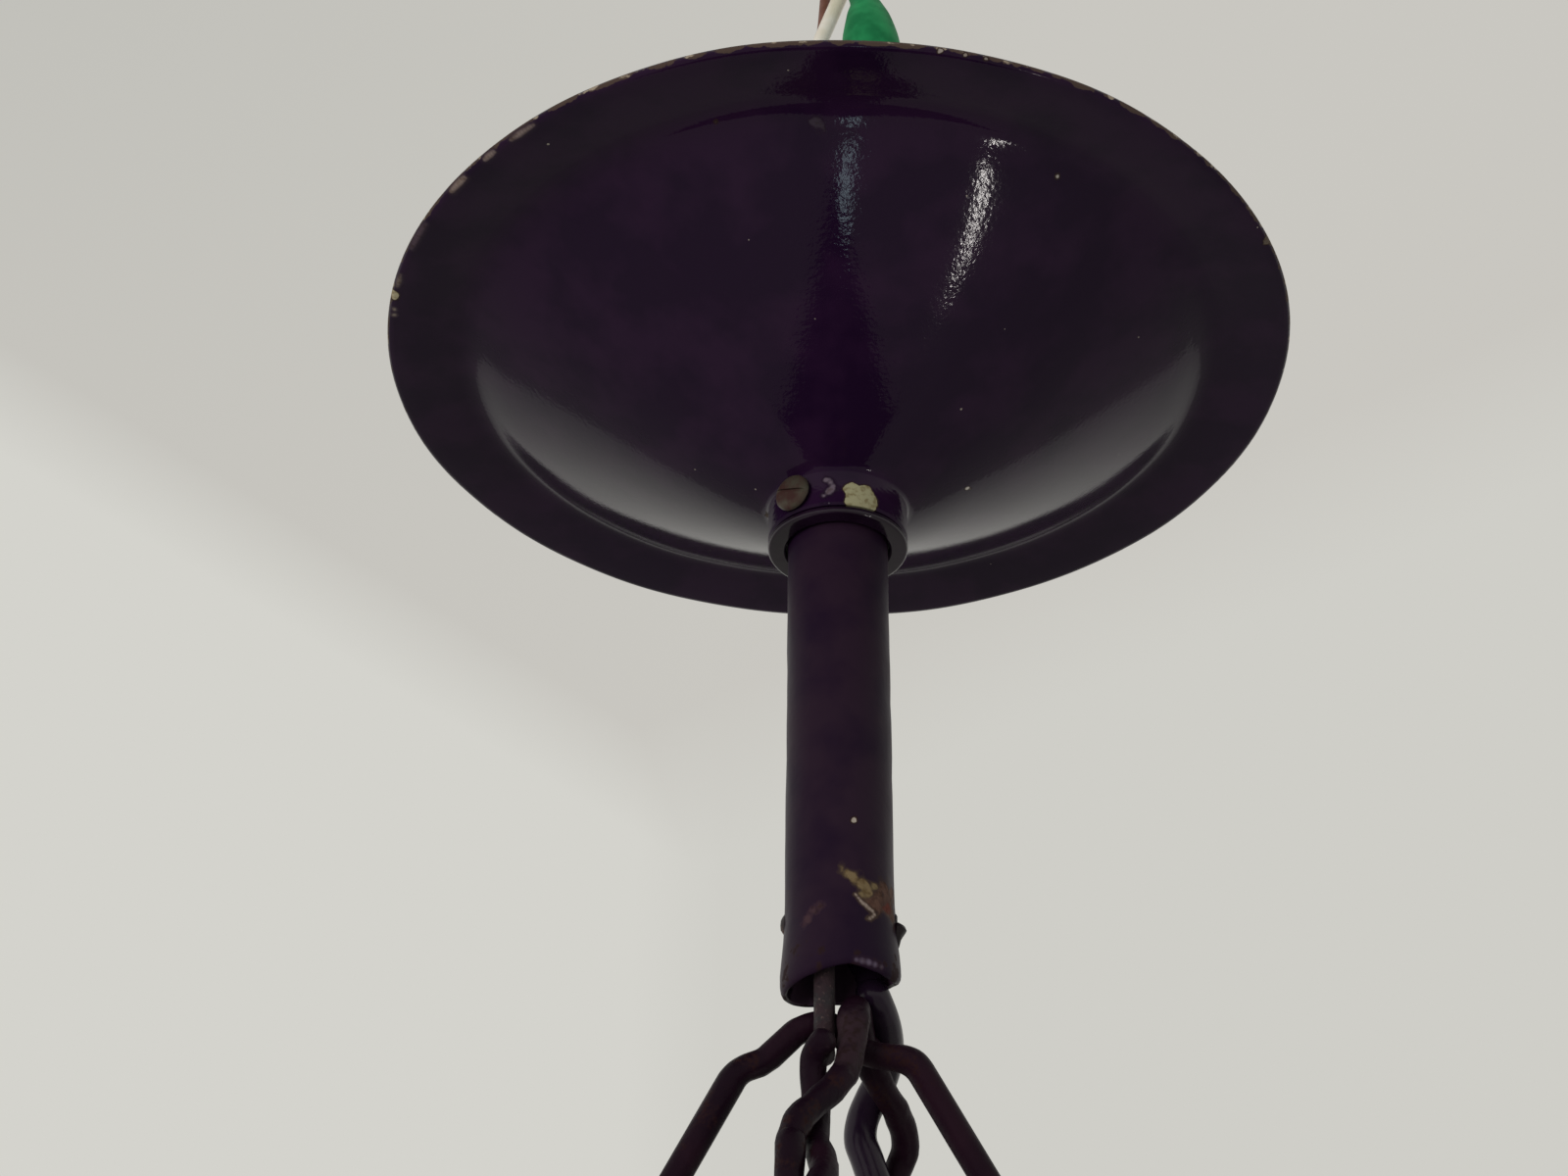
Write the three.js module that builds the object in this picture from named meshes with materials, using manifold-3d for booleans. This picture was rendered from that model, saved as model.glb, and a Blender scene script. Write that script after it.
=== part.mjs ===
// Lantern pendant lamp: a ceiling hook, a bail, a stem tube with its canopy, wire hangers and a
// square pierced lantern. Millimetres, +Z up. The origin is on the hook's shank at the ceiling.
import * as THREE from 'three';
import { mergeVertices } from 'three/addons/utils/BufferGeometryUtils.js';
import Module from 'manifold-3d';

const wasm = await Module();
wasm.setup();

// Clearances between pieces
const seat = 0.3;
const running = 0.35;

// Ceiling hook: its centreline (x, z) and the radius of the vinyl coat along it
const hookRoute = [
  [0, 0, 2.2], [0, -9, 2.1], [1.9, -15.5, 2.0], [4.3, -22, 2.1], [5.0, -26.5, 3.4], [5.5, -32, 4.3],
  [6.4, -37.5, 3.6], [4.7, -43, 2.9], [0, -46, 2.8], [-4.6, -43.4, 2.6], [-6.8, -39.5, 2.6], [-7.4, -36, 2.4],
];
const hookSteps = 20;
const hookCollarRadius = 5.5;
const hookCollarHeight = 2.4;
const hookScrewRadius = 2.0;
const hookScrewLength = 24;
const hookTipSwell = 0.1;
const hookScrewTop = 23;
const [, hookBendBottom, hookBendRadius] = hookRoute[8];

// Bail and the pin through the stem top
const bailWire = 1.5;
const bailHalfWidth = 8.5;
const lugRadius = 4.0;
const lugThickness = 2.6;
const upperPinRadius = 1.5;
const pinHeadRadius = 2.9;
const pinHeadHeight = 1.2;
const throughBore = 30;

// Stem tube
const stemRadius = 6.35;
const stemWall = 0.8;
const stemAboveRim = 8;
const stemAbovePin = 4;
const stemLength = 95.7;
const mouthFlare = 0.5;
const mouthDepth = 4.5;
const lowerPinRadius = 1.25;
const lowerPinAboveMouth = 7.2;
const lowerPinStandout = 0.9;

// Canopy
const rimZ = -95;
const rimRadius = 60;
const sheet = 1.0;
const shoulderRadius = 50;
const shoulderRise = 1.6;
const coneTopRadius = 44.5;
const coneTopDrop = 1.9;
const neckRadius = 8.95;
const neckTopDrop = 22.6;
const neckDrop = 27.6;
const lipThickness = 0.9;
const collarHeight = 9;

// Canopy set screw, left of the front
const screwAngle = 36.4;
const screwDrop = 25.05;
const screwHeadRadius = 2.45;
const screwHeadHeight = 1.1;
const screwShankRadius = 1.3;
const screwSlot = 0.7;
const screwBoreLength = 12;

// Supply leads, terminal block and flexes; the flex's ends are drops below the stem's mouth
const creamLeadRadius = 1.2;
const brownLeadRadius = 0.9;
const creamLeadRoute = [
  [3.9, 10.2, -0.3], [1.8, 9.2, -8], [-1.1, 8.5, -18], [-3.4, 8.2, -26], [-5.3, 8.0, -34],
  [-6.7, 7.8, -44], [-6.9, 6.9, -52], [-6.8, 3.6, -58], [-4.3, 1.2, -61.5],
];
const brownLeadRoute = [
  [-0.6, 11.8, -0.3], [-1.4, 11.5, -8], [-2.1, 11.1, -18], [-3.6, 11.0, -26], [-6.2, 10.8, -34],
  [-9.7, 10.3, -44], [-11.4, 7.8, -52], [-10.2, 2.2, -58.5], [-5.9, -2.4, -61.3],
];
const blockWidth = 16;
const blockDepth = 11;
const blockHeight = 14;
const blockBottomZ = -79;
const blockWell = 3;
const blockChamfer = 1.5;
const flexRadius = 1.6;
const stemFlexTop = [
  [4.0, 0, -77], [3.9, 0, -84], [3.5, 0.2, -92], [3.5, 0.2, -100], [2.9, 1.8, -125], [1.7, 3.1, -150],
];
const stemFlexEnd = [[1.6, 3.15, -12.7], [1.9, 3.0, -5.7], [3.1, 2.1, -2.3], [3.4, 1.95, -1.1]];
const flexDropReach = 26;
const flexDropStart = [2.2, 26];
const flexDropMiddle = [0.4, 8];
const flexDropEnd = 14;
const flexInBush = 12;

// Main link on the lower pin
const linkWire = 1.2;
const linkHalfWidth = 3.05;
const linkX = -1.8;
const linkButtGap = 0.4;
const linkSlack = 0.9;

// Spreader wires and their hooks; bends are [x, y, drop below the stem's mouth]
const wireRadius = 1.55;
const wireSides = 7;
const crossingX = 1.8;
const crestDrop = 4.6;
const sideBendDrops = [
  [-11.43, 0, 10.3], [-8.4, 0, 9.0], [-5.2, 0, 5.8], [-3.2, 0, 4.8], [linkX, 0, crestDrop],
  [-0.1, 0, 5.8], [crossingX, 0, 7.7], [4.1, 0, 8.4], [8.1, 0, 8.9],
];
const bendRadius = 4;
const armLean = 28.2;
const eyeRing = 4.6;
const eyeWire = 1.4;
const hookPitch = 3.35;
const hookClosing = 0.35;
const hookTipRise = [0.9, 2.6];

// Twisted stretch of the front and back legs; heights are drops below the stem's mouth
const twistRadius = 1.8;
const twistHalfPitch = 13;
const twistStep = 3.25;
const twistEndDrop = 67.3;
const frontTwist = { sense: 1, bend: [-3.6, -11.8, 23.3], phase: 18.8 };
const backTwist = { sense: -1, bend: [4.85, 13.2, 20.8], phase: 21.3 };
const frontWireDrops = [
  [1.3, -4.4, 8.4], [0.85, -5.9, 11.5], [-0.4, -7.6, 14.4], [-2.6, -9.3, 17.1], [-4.4, -10.6, 19.3],
  [-5.2, -11.6, 21.7],
];
const backWireDrops = [
  [2.6, 4.2, 5.8], [3.35, 5.8, 7.7], [4.55, 7.2, 9.5], [6.0, 9.4, 11.0], [7.05, 12.0, 12.5], [7.4, 13.8, 14.1],
  [6.7, 15.2, 16.0],
];
const tieWireDrops = [
  [-1.8, -6.5, 9.2], [-2.4, -6.0, 9.8], [-2.85, -5.2, 10.7], [-2.95, -4.6, 12.2], [-2.75, -4.6, 14.3],
  [-2.65, -4.9, 16.4], [-2.7, -6.2, 18.7], [-2.7, -8.4, 21.2],
];
const mouthFlexDrops = [
  [3.8, 1.9, 0.7], [4.35, 2.8, 1.7], [4.95, 4.4, 2.8], [5.3, 6.4, 4.0], [5.3, 8.6, 5.3], [4.75, 10.6, 7.1],
  [3.5, 11.6, 9.3], [2.45, 11.5, 11.9], [2.2, 11.2, 14.3], [2.95, 11.2, 16.6],
];
const saddleRadius = 3.9;
const saddleDrop = 7.15;
const saddleLean = 0.1;
const saddleStep = 0.42;

// Lantern body and its square frames
const bodyHalf = 72;
const bodyHeight = 184;
const frameLedge = 6;
const frameHalf = bodyHalf + frameLedge;
const frameWidth = 15;
const frameInner = frameHalf - frameWidth;
const frameThickness = 3;
const frameChamfer = 4;

// Corner eyes, inset from the flat across the frame's corner
const eyeInset = 2.48;
const cornerRadius = frameHalf * Math.SQRT2 - frameChamfer / Math.SQRT2 - eyeInset;
const eyeFootHeight = 1;
const eyeBoreLength = 20;
const eyeNeck = 2.5;
const eyeShankRadius = 1.5;
const eyeFootRadius = 3.2;
const eyeNutRadius = 3;
const eyeNutHeight = 2.4;

// Posts, pierced screens and panes
const postLeg = 12;
const postSheet = 1.2;
const screenSheet = 1.2;
const glassThickness = 2;
const starColumns = 2;
const starRows = 3;
const starMargin = 16;
const starWeb = 8;
const starPitchX = bodyHalf * 0.75;
const starPitchZ = (bodyHeight - starMargin) / starRows;
const starRadius = (Math.min(starPitchX, starPitchZ) - starWeb) / 2;
const diamondRadius = 8;

// Door
const doorGap = 0.7;
const doorThickness = 2;
const doorProud = 0.4;
const knuckleRadius = 2.7;
const knuckleBore = 1.55;
const knuckleLength = 16;
const hingePinRadius = 1.2;
const leafWidth = 8.4;
const leafSheet = 1.2;
const latchLength = 22;
const latchWidth = 7;
const latchThickness = 1.4;
const rivetRadius = 1.5;
const latchDrop = 12;
const pullRadius = 3;
const pullLength = 7;
const pullRise = 14;
const knuckleWeb = 5;
const leafWeb = 3.4;
const pinCapRadius = 2.2;

// Roof, holder and bulb
const roofInset = 9;
const roofOutline = [[96, 0], [95, 3], [82, 8], [66, 14], [51, 24], [39, 37], [28, 49], [18, 57], [12.5, 64]];
const bushRadius = 11;
const bushHeight = 13;
const nippleRadius = 6.5;
const nippleBore = 4.6;
const nippleLength = 46;
const holderNeck = 6;
const holderRadius = 20;
const holderHeight = 52;
const holderSkirt = 22;
const holderStep = 2;
const holderTopRadius = 11;
const bulbRadius = 26.8;
const bulbLength = 72;
const bulbCapRadius = 13.2;
const bulbGap = 2;
const bulbInHolder = 8;
const bulbOutline = [[0.58, 0.11], [0.78, 0.28], [0.97, 0.46], [0.985, 0.69], [0.7, 0.89], [0, 1]];

// Base tray, finial and ring
const trayInset = 8;
const trayOutline = [[97, 0], [95, -4], [80, -9], [62, -13], [46, -20], [34, -29], [24, -36], [12, -40]];
const finialRadius = 9;
const finialStud = 9;
const finialStudRadius = 4;
const finialPlateRadius = 12.5;
const finialNutRadius = 11.5;
const finialNutRise = 4.4;
const finialHeight = 22;
const finialEye = 3.4;
const finialEyeWire = 1.2;
const ringRadius = 11;
const ringWire = 1.3;

const colours = {
  paint: 0x1d1524, steel: 0x2b211f, rust: 0x5a4438, vinyl: 0x1c7a4c, cream: 0xe6dcc0, brown: 0x6b3b26,
  flex: 0x131116, block: 0xe8e4da, screw: 0x8c7c6a, brass: 0x8f6b35, glass: 0xe7efe8, holder: 0x191817,
  bulb: 0xf2efe6,
};

const lamp = new THREE.Group();

function material(colour, roughness, metalness) {
  return new THREE.MeshStandardMaterial({ color: colour, roughness, metalness });
}

const finishes = {
  paint: () => material(colours.paint, 0.3, 0.2),
  steel: () => material(colours.steel, 0.5, 0.4),
  rust: () => material(colours.rust, 0.75, 0.5),
  vinyl: () => material(colours.vinyl, 0.45, 0),
  cream: () => material(colours.cream, 0.5, 0),
  brown: () => material(colours.brown, 0.5, 0),
  flex: () => material(colours.flex, 0.3, 0),
  block: () => material(colours.block, 0.4, 0),
  screw: () => material(colours.screw, 0.5, 0.8),
  brass: () => material(colours.brass, 0.4, 0.9),
  glass: () => {
    const pane = material(colours.glass, 0.1, 0);
    pane.transparent = true;
    pane.opacity = 0.35;
    return pane;
  },
  holder: () => material(colours.holder, 0.4, 0),
  bulb: () => material(colours.bulb, 0.25, 0),
};

function place(parent, name, geometry, finish) {
  const mesh = new THREE.Mesh(geometry, finishes[finish]());
  mesh.name = name;
  parent.add(mesh);
  return mesh;
}

// Solids for joining and cutting
function solid(geometry) {
  const bare = geometry.clone();
  bare.deleteAttribute('normal');
  bare.deleteAttribute('uv');
  const merged = mergeVertices(bare, 1e-4);
  const vertProperties = Float32Array.from(merged.attributes.position.array);
  const triVerts = Uint32Array.from(merged.index.array);
  return new wasm.Manifold(new wasm.Mesh({ numProp: 3, vertProperties, triVerts }));
}

function surface(body) {
  const mesh = body.getMesh();
  const geometry = new THREE.BufferGeometry();
  geometry.setAttribute('position', new THREE.BufferAttribute(mesh.vertProperties, 3));
  geometry.setIndex(new THREE.BufferAttribute(mesh.triVerts, 1));
  geometry.computeVertexNormals();
  return geometry;
}

// A curve that passes through every listed point, one section at each
class WirePath extends THREE.Curve {
  constructor(points) {
    super();
    this.points = points;
  }

  getPoint(t, target = new THREE.Vector3()) {
    const along = t * (this.points.length - 1);
    const first = Math.min(Math.floor(along), this.points.length - 2);
    return target.lerpVectors(this.points[first], this.points[first + 1], along - first);
  }

  getPointAt(t, target) {
    return this.getPoint(t, target);
  }

  getTangent(t, target = new THREE.Vector3()) {
    const last = this.points.length - 1;
    const here = Math.round(t * last);
    const back = this.points[Math.max(here - 1, 0)];
    const ahead = this.points[Math.min(here + 1, last)];
    const middle = this.points[here];
    const into = middle.clone().sub(back).normalize();
    const out = ahead.clone().sub(middle).normalize();
    return target.copy(into.add(out)).normalize();
  }

  getTangentAt(t, target) {
    return this.getTangent(t, target);
  }
}

function polygon(radius, sides) {
  const corners = [];
  for (let i = 0; i < sides; i += 1) {
    const angle = (2 * Math.PI * (i + 0.5)) / sides;
    corners.push(new THREE.Vector2(radius * Math.cos(angle), radius * Math.sin(angle)));
  }
  return new THREE.Shape(corners);
}

function wire(points, radius, sides) {
  const path = new WirePath(points);
  return new THREE.ExtrudeGeometry(polygon(radius, sides), {
    steps: points.length - 1, extrudePath: path, bevelEnabled: false,
  });
}

function smooth(points, steps) {
  const vectors = points.map((p) => new THREE.Vector3(...p));
  return new THREE.CatmullRomCurve3(vectors, false, 'centripetal').getSpacedPoints(steps);
}

// Corners of a wire route replaced by arcs of one bend radius
function bent(corners, radius, arcSteps) {
  const route = [corners[0].clone()];
  for (let i = 1; i < corners.length - 1; i += 1) {
    const into = corners[i].clone().sub(corners[i - 1]);
    const out = corners[i + 1].clone().sub(corners[i]);
    const turn = into.angleTo(out);
    const reach = Math.min(radius * Math.tan(turn / 2), into.length() * 0.48, out.length() * 0.48);
    const start = corners[i].clone().addScaledVector(into.normalize(), -reach);
    const end = corners[i].clone().addScaledVector(out.normalize(), reach);
    const arc = new THREE.QuadraticBezierCurve3(start, corners[i], end);
    route.push(...arc.getPoints(arcSteps));
  }
  route.push(corners[corners.length - 1].clone());
  return route;
}

// A closed profile of [radius, height] turned round Z, wound so that its faces point outwards
function turned(profile, segments) {
  let area = 0;
  profile.forEach(([r, z], i) => {
    const [nextR, nextZ] = profile[(i + 1) % profile.length];
    area += r * nextZ - nextR * z;
  });
  const wound = area < 0 ? [...profile].reverse() : profile;
  const points = wound.map(([r, z]) => new THREE.Vector2(r, z));
  return new THREE.LatheGeometry(points, segments).rotateX(Math.PI / 2);
}

function cylinder(radius, height, segments) {
  return new THREE.CylinderGeometry(radius, radius, height, segments).rotateX(Math.PI / 2);
}

function cylinderAt(radius, height, segments, x, y, z) {
  return cylinder(radius, height, segments).translate(x, y, z);
}

// Profile of a sheet: the outer face as given and the inner face one thickness to its left.
// The edge at the first point is cut level.
function sheetProfile(outer, thickness) {
  const inner = outer.map(([r, z], i) => {
    if (i === 0) return [r - 1.4 * Math.abs(thickness), z];
    const [r0, z0] = outer[Math.max(i - 1, 0)];
    const [r1, z1] = outer[Math.min(i + 1, outer.length - 1)];
    const length = Math.hypot(r1 - r0, z1 - z0);
    return [r - (thickness * (z1 - z0)) / length, z + (thickness * (r1 - r0)) / length];
  });
  return [...outer, ...inner.reverse(), outer[0]];
}

// A sheet's outline stretched to a new reach; its last point stays where it is
function stretched(outline, reach) {
  const inner = outline.at(-1)[0];
  const share = (reach - inner) / (outline[0][0] - inner);
  return outline.map(([r, z]) => [inner + (r - inner) * share, z]);
}

// Heights that several pieces share
const bailCrestZ = hookBendBottom + hookBendRadius + seat + bailWire;
const stemTopZ = rimZ + stemAboveRim;
const upperPinZ = stemTopZ - stemAbovePin;
const mouthZ = stemTopZ - stemLength;
const lowerPinZ = mouthZ + lowerPinAboveMouth;
const stemBore = stemRadius - stemWall;
const lean = THREE.MathUtils.degToRad(armLean);
const hookTangent = Math.PI + lean;
const twistEndZ = mouthZ - twistEndDrop;

function belowMouth(points) {
  return points.map(([x, y, drop]) => [x, y, mouthZ - drop]);
}

const sideBends = belowMouth(sideBendDrops);
const mouthFlexRoute = belowMouth(mouthFlexDrops);
const stemFlexRoute = [...stemFlexTop, ...belowMouth(stemFlexEnd)];

// Height of the corner eyes, found by running a leg down from the left bend
const legStartRadius = -sideBends[0][0];
const legStartZ = sideBends[0][2];
const tangentRadius = cornerRadius + hookPitch * Math.cos(hookTangent);
const eyeBarZ = legStartZ - (tangentRadius - legStartRadius) / Math.tan(lean)
  - hookPitch * Math.sin(hookTangent);
const eyeZ = eyeBarZ - eyeRing;
const frameTopZ = eyeZ - eyeRing - eyeWire - eyeNeck;
const frameBottomZ = frameTopZ - frameThickness;
const bodyBottomZ = frameBottomZ - bodyHeight;
const baseBottomZ = bodyBottomZ - frameThickness;
const roofProfile = stretched(roofOutline, cornerRadius - roofInset);
const trayProfile = stretched(trayOutline, cornerRadius - trayInset);
const roofBushTopZ = frameTopZ + seat + roofProfile.at(-1)[1] + seat + bushHeight;

function ceilingHook() {
  const stations = smooth(hookRoute.map(([x, z]) => [x, 0, z]), hookSteps);
  const radii = smooth(hookRoute.map(([x, z, r]) => [x, r, z]), hookSteps).map((p) => p.y);
  const tube = wire(stations, 1, 10);
  const position = tube.attributes.position;
  const point = new THREE.Vector3();
  for (let i = 0; i < position.count; i += 1) {
    point.fromBufferAttribute(position, i);
    let nearest = 0;
    for (let k = 1; k < stations.length; k += 1) {
      if (point.distanceTo(stations[k]) < point.distanceTo(stations[nearest])) nearest = k;
    }
    point.sub(stations[nearest]).multiplyScalar(radii[nearest]).add(stations[nearest]);
    position.setXYZ(i, point.x, point.y, point.z);
  }
  const tipEnd = hookRoute[hookRoute.length - 1];
  const tip = new THREE.SphereGeometry(tipEnd[2] + hookTipSwell, 10, 6).translate(tipEnd[0], 0, tipEnd[1]);
  const collar = cylinderAt(hookCollarRadius, hookCollarHeight, 18, 0, 0, -hookCollarHeight / 2);
  const screw = cylinderAt(hookScrewRadius, hookScrewLength, 10, 0, 0, hookScrewTop - hookScrewLength / 2);
  return surface(solid(tube).add(solid(tip)).add(solid(collar)).add(solid(screw)));
}

function topBail() {
  const springZ = bailCrestZ - bailHalfWidth;
  const points = [new THREE.Vector3(0, -bailHalfWidth, upperPinZ)];
  for (let i = 0; i <= 10; i += 1) {
    const angle = Math.PI - (Math.PI * i) / 10;
    const z = springZ + bailHalfWidth * Math.sin(angle);
    points.push(new THREE.Vector3(0, bailHalfWidth * Math.cos(angle), z));
  }
  points.push(new THREE.Vector3(0, bailHalfWidth, upperPinZ));
  let body = solid(wire(points, bailWire, 8));
  for (const side of [-1, 1]) {
    const lug = new THREE.CylinderGeometry(lugRadius, lugRadius, lugThickness, 16);
    body = body.add(solid(lug.translate(0, side * bailHalfWidth, upperPinZ)));
  }
  const bore = new THREE.CylinderGeometry(upperPinRadius + seat, upperPinRadius + seat, throughBore, 12);
  return surface(body.subtract(solid(bore.translate(0, 0, upperPinZ))));
}

function upperPin() {
  const outside = bailHalfWidth + bailWire + seat;
  const profile = [
    [0, -outside - pinHeadHeight], [pinHeadRadius * 0.8, -outside - pinHeadHeight],
    [pinHeadRadius, -outside - pinHeadHeight / 2], [pinHeadRadius, -outside], [upperPinRadius, -outside],
    [upperPinRadius, outside], [pinHeadRadius * 0.85, outside],
    [pinHeadRadius * 0.7, outside + pinHeadHeight * 0.8], [0, outside + pinHeadHeight],
  ];
  return turned(profile, 12).rotateX(-Math.PI / 2).translate(0, 0, upperPinZ);
}

function stemTube() {
  const mouthRadius = stemRadius + mouthFlare;
  const mouthBore = stemBore + mouthFlare * 0.9;
  const profile = [
    [stemRadius, stemTopZ], [stemBore, stemTopZ], [stemBore, mouthZ + mouthDepth], [mouthBore, mouthZ + 1.2],
    [mouthBore, mouthZ], [mouthRadius - 0.3, mouthZ], [mouthRadius, mouthZ + 0.9],
    [mouthRadius, mouthZ + 1.8],
    [stemRadius, mouthZ + mouthDepth + 4], [stemRadius, stemTopZ],
  ];
  const upperBore = new THREE.CylinderGeometry(upperPinRadius + seat, upperPinRadius + seat, throughBore, 12);
  const lowerBore = new THREE.CylinderGeometry(lowerPinRadius + seat, lowerPinRadius + seat, throughBore, 12);
  return surface(solid(turned(profile, 24))
    .subtract(solid(upperBore.translate(0, 0, upperPinZ)))
    .subtract(solid(lowerBore.rotateZ(Math.PI / 2).translate(0, 0, lowerPinZ))));
}

function lowerPin() {
  const reach = stemRadius + lowerPinStandout;
  const pin = new THREE.CylinderGeometry(lowerPinRadius, lowerPinRadius, 2 * reach, 14);
  return pin.rotateZ(Math.PI / 2).translate(0, 0, lowerPinZ);
}

// Canopy, drawn with the rim at height 0
function canopyShell() {
  const outer = [
    [neckRadius, -neckDrop], [neckRadius, -neckTopDrop - 0.2], [neckRadius + 1.2, -neckTopDrop + 1.0],
    [coneTopRadius, -coneTopDrop - 0.9], [shoulderRadius - 2, shoulderRise - 1.6],
    [shoulderRadius + 0.6, shoulderRise - sheet], [rimRadius, -sheet],
  ];
  const inner = [
    [rimRadius, 0], [shoulderRadius + 0.6, shoulderRise], [shoulderRadius - 2.5, shoulderRise - 0.6],
    [coneTopRadius - 0.5, -coneTopDrop + 0.1], [neckRadius + 0.8, -neckTopDrop + 2.0],
    [neckRadius - sheet, -neckTopDrop + 0.9], [neckRadius - sheet, -neckDrop], [neckRadius, -neckDrop],
  ];
  return surface(solid(turned([...outer, ...inner], 44)).subtract(screwBore()));
}

function screwBore() {
  const radius = screwShankRadius + seat;
  const bore = new THREE.CylinderGeometry(radius, radius, screwBoreLength, 14);
  return solid(bore.translate(0, -neckRadius, 0).rotateZ(-THREE.MathUtils.degToRad(screwAngle))
    .translate(0, 0, -screwDrop));
}

function canopyCollar() {
  const bore = stemRadius + running;
  const outside = neckRadius - sheet - seat;
  const lipTop = -neckDrop - seat;
  const lipBottom = lipTop - lipThickness;
  const top = -neckDrop + collarHeight;
  const profile = [
    [bore, lipBottom + 0.2], [bore + 0.3, lipBottom], [neckRadius - 0.3, lipBottom],
    [neckRadius, lipBottom + 0.3], [neckRadius, lipTop], [outside, lipTop], [outside, top], [bore, top],
    [bore, lipBottom + 0.2],
  ];
  return surface(solid(turned(profile, 24)).subtract(screwBore()));
}

function canopyScrew() {
  const underHead = neckRadius + seat;
  const tip = stemRadius + seat;
  const profile = [
    [0, tip], [screwShankRadius, tip], [screwShankRadius, underHead], [screwHeadRadius, underHead],
    [screwHeadRadius, underHead + screwHeadHeight * 0.55],
    [screwHeadRadius * 0.75, underHead + screwHeadHeight * 0.9],
    [0, underHead + screwHeadHeight],
  ];
  const slot = new THREE.BoxGeometry(screwHeadRadius * 2.4, screwSlot, screwHeadHeight);
  const body = solid(turned(profile, 18))
    .subtract(solid(slot.translate(0, 0, underHead + screwHeadHeight * 1.05)));
  return surface(body).rotateX(Math.PI / 2).rotateZ(-THREE.MathUtils.degToRad(screwAngle))
    .translate(0, 0, -screwDrop);
}

function terminalBlock() {
  const half = blockDepth / 2;
  const shape = new THREE.Shape();
  shape.moveTo(-blockWidth / 2, -half + blockChamfer);
  shape.lineTo(-blockWidth / 2 + blockChamfer, -half);
  shape.lineTo(blockWidth / 2 - blockChamfer, -half);
  shape.lineTo(blockWidth / 2, -half + blockChamfer);
  shape.lineTo(blockWidth / 2, half - blockChamfer);
  shape.lineTo(blockWidth / 2 - blockChamfer, half);
  shape.lineTo(-blockWidth / 2 + blockChamfer, half);
  shape.lineTo(-blockWidth / 2, half - blockChamfer);
  let body = solid(new THREE.ExtrudeGeometry(shape, { depth: blockHeight, bevelEnabled: false })
    .translate(0, 0, blockBottomZ));
  const wells = [
    [stemFlexRoute[0], blockBottomZ, flexRadius],
    [creamLeadRoute.at(-1), blockBottomZ + blockHeight, creamLeadRadius],
    [brownLeadRoute.at(-1), blockBottomZ + blockHeight, brownLeadRadius],
  ];
  for (const [[x, y], z, radius] of wells) {
    body = body.subtract(solid(cylinderAt(radius + seat, blockWell * 2, 12, x, y, z)));
  }
  return surface(body);
}

// A lead that ends straight down in its well of the terminal block
function lead(route, radius) {
  const last = route.at(-1);
  const wellEnd = [last[0], last[1], blockBottomZ + blockHeight - blockWell + seat];
  const bottom = [last[0], last[1], blockBottomZ + blockHeight + blockWell / 2];
  return wire(smooth([...route.slice(0, -1), bottom, wellEnd], 24), radius, 8);
}

function stemFlex() {
  const start = [stemFlexRoute[0][0], stemFlexRoute[0][1], blockBottomZ + blockWell - seat];
  return wire(smooth([start, ...stemFlexRoute.slice(1)], 26), flexRadius, 8);
}

// Main link: one wire bent into an oval whose ends butt at the back leg
function mainLink() {
  const topZ = lowerPinZ + lowerPinRadius + seat + linkWire - linkHalfWidth;
  const bottomZ = mouthZ - crestDrop - wireRadius - linkSlack - linkWire + linkHalfWidth;
  const middleZ = (topZ + bottomZ) / 2;
  const points = [new THREE.Vector3(linkX, linkHalfWidth, middleZ + linkButtGap / 2)];
  for (const [centreZ, first] of [[topZ, 0], [bottomZ, Math.PI]]) {
    for (let i = 0; i <= 10; i += 1) {
      const angle = first + (Math.PI * i) / 10;
      const y = linkHalfWidth * Math.cos(angle);
      points.push(new THREE.Vector3(linkX, y, centreZ + linkHalfWidth * Math.sin(angle)));
    }
  }
  points.push(new THREE.Vector3(linkX, linkHalfWidth, middleZ - linkButtGap / 2));
  return wire(points, linkWire, 8);
}

// The hook at a leg's end, round the top bar of a corner eye, in a plane turned by azimuth
function cornerHook(azimuth) {
  const points = [];
  for (let i = 0; i <= 6; i += 1) {
    const angle = hookTangent + (i / 6) * (2 * Math.PI + hookClosing - hookTangent);
    const radius = cornerRadius + hookPitch * Math.cos(angle);
    const z = eyeBarZ + hookPitch * Math.sin(angle);
    points.push(new THREE.Vector3(radius * Math.cos(azimuth), radius * Math.sin(azimuth), z));
  }
  const [out, rise] = hookTipRise;
  const tipRise = new THREE.Vector3(out * Math.cos(azimuth), out * Math.sin(azimuth), rise);
  points.push(points.at(-1).clone().add(tipRise));
  return points;
}

function sideSpreader() {
  const left = cornerHook(Math.PI).reverse();
  const right = cornerHook(0);
  const bends = sideBends.map((p) => new THREE.Vector3(...p));
  const middle = bent([left.at(-1), ...bends, right[0]], bendRadius, 4);
  return wire([...left.slice(0, -1), ...middle, ...right.slice(1)], wireRadius, wireSides);
}

// Axis of a twisted leg, from the end of its free bends to the corner
function twistAxis({ sense, bend, phase }, azimuth) {
  return { sense, bend: belowMouth([bend])[0], phase: mouthZ - phase, azimuth };
}

const twistAxes = {
  front: twistAxis(frontTwist, -Math.PI / 2),
  back: twistAxis(backTwist, Math.PI / 2),
};

function axisPoint({ bend, azimuth }, z) {
  const from = new THREE.Vector3(...bend);
  const to = cornerHook(azimuth)[0];
  return from.lerp(to, (z - from.z) / (to.z - from.z));
}

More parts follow.
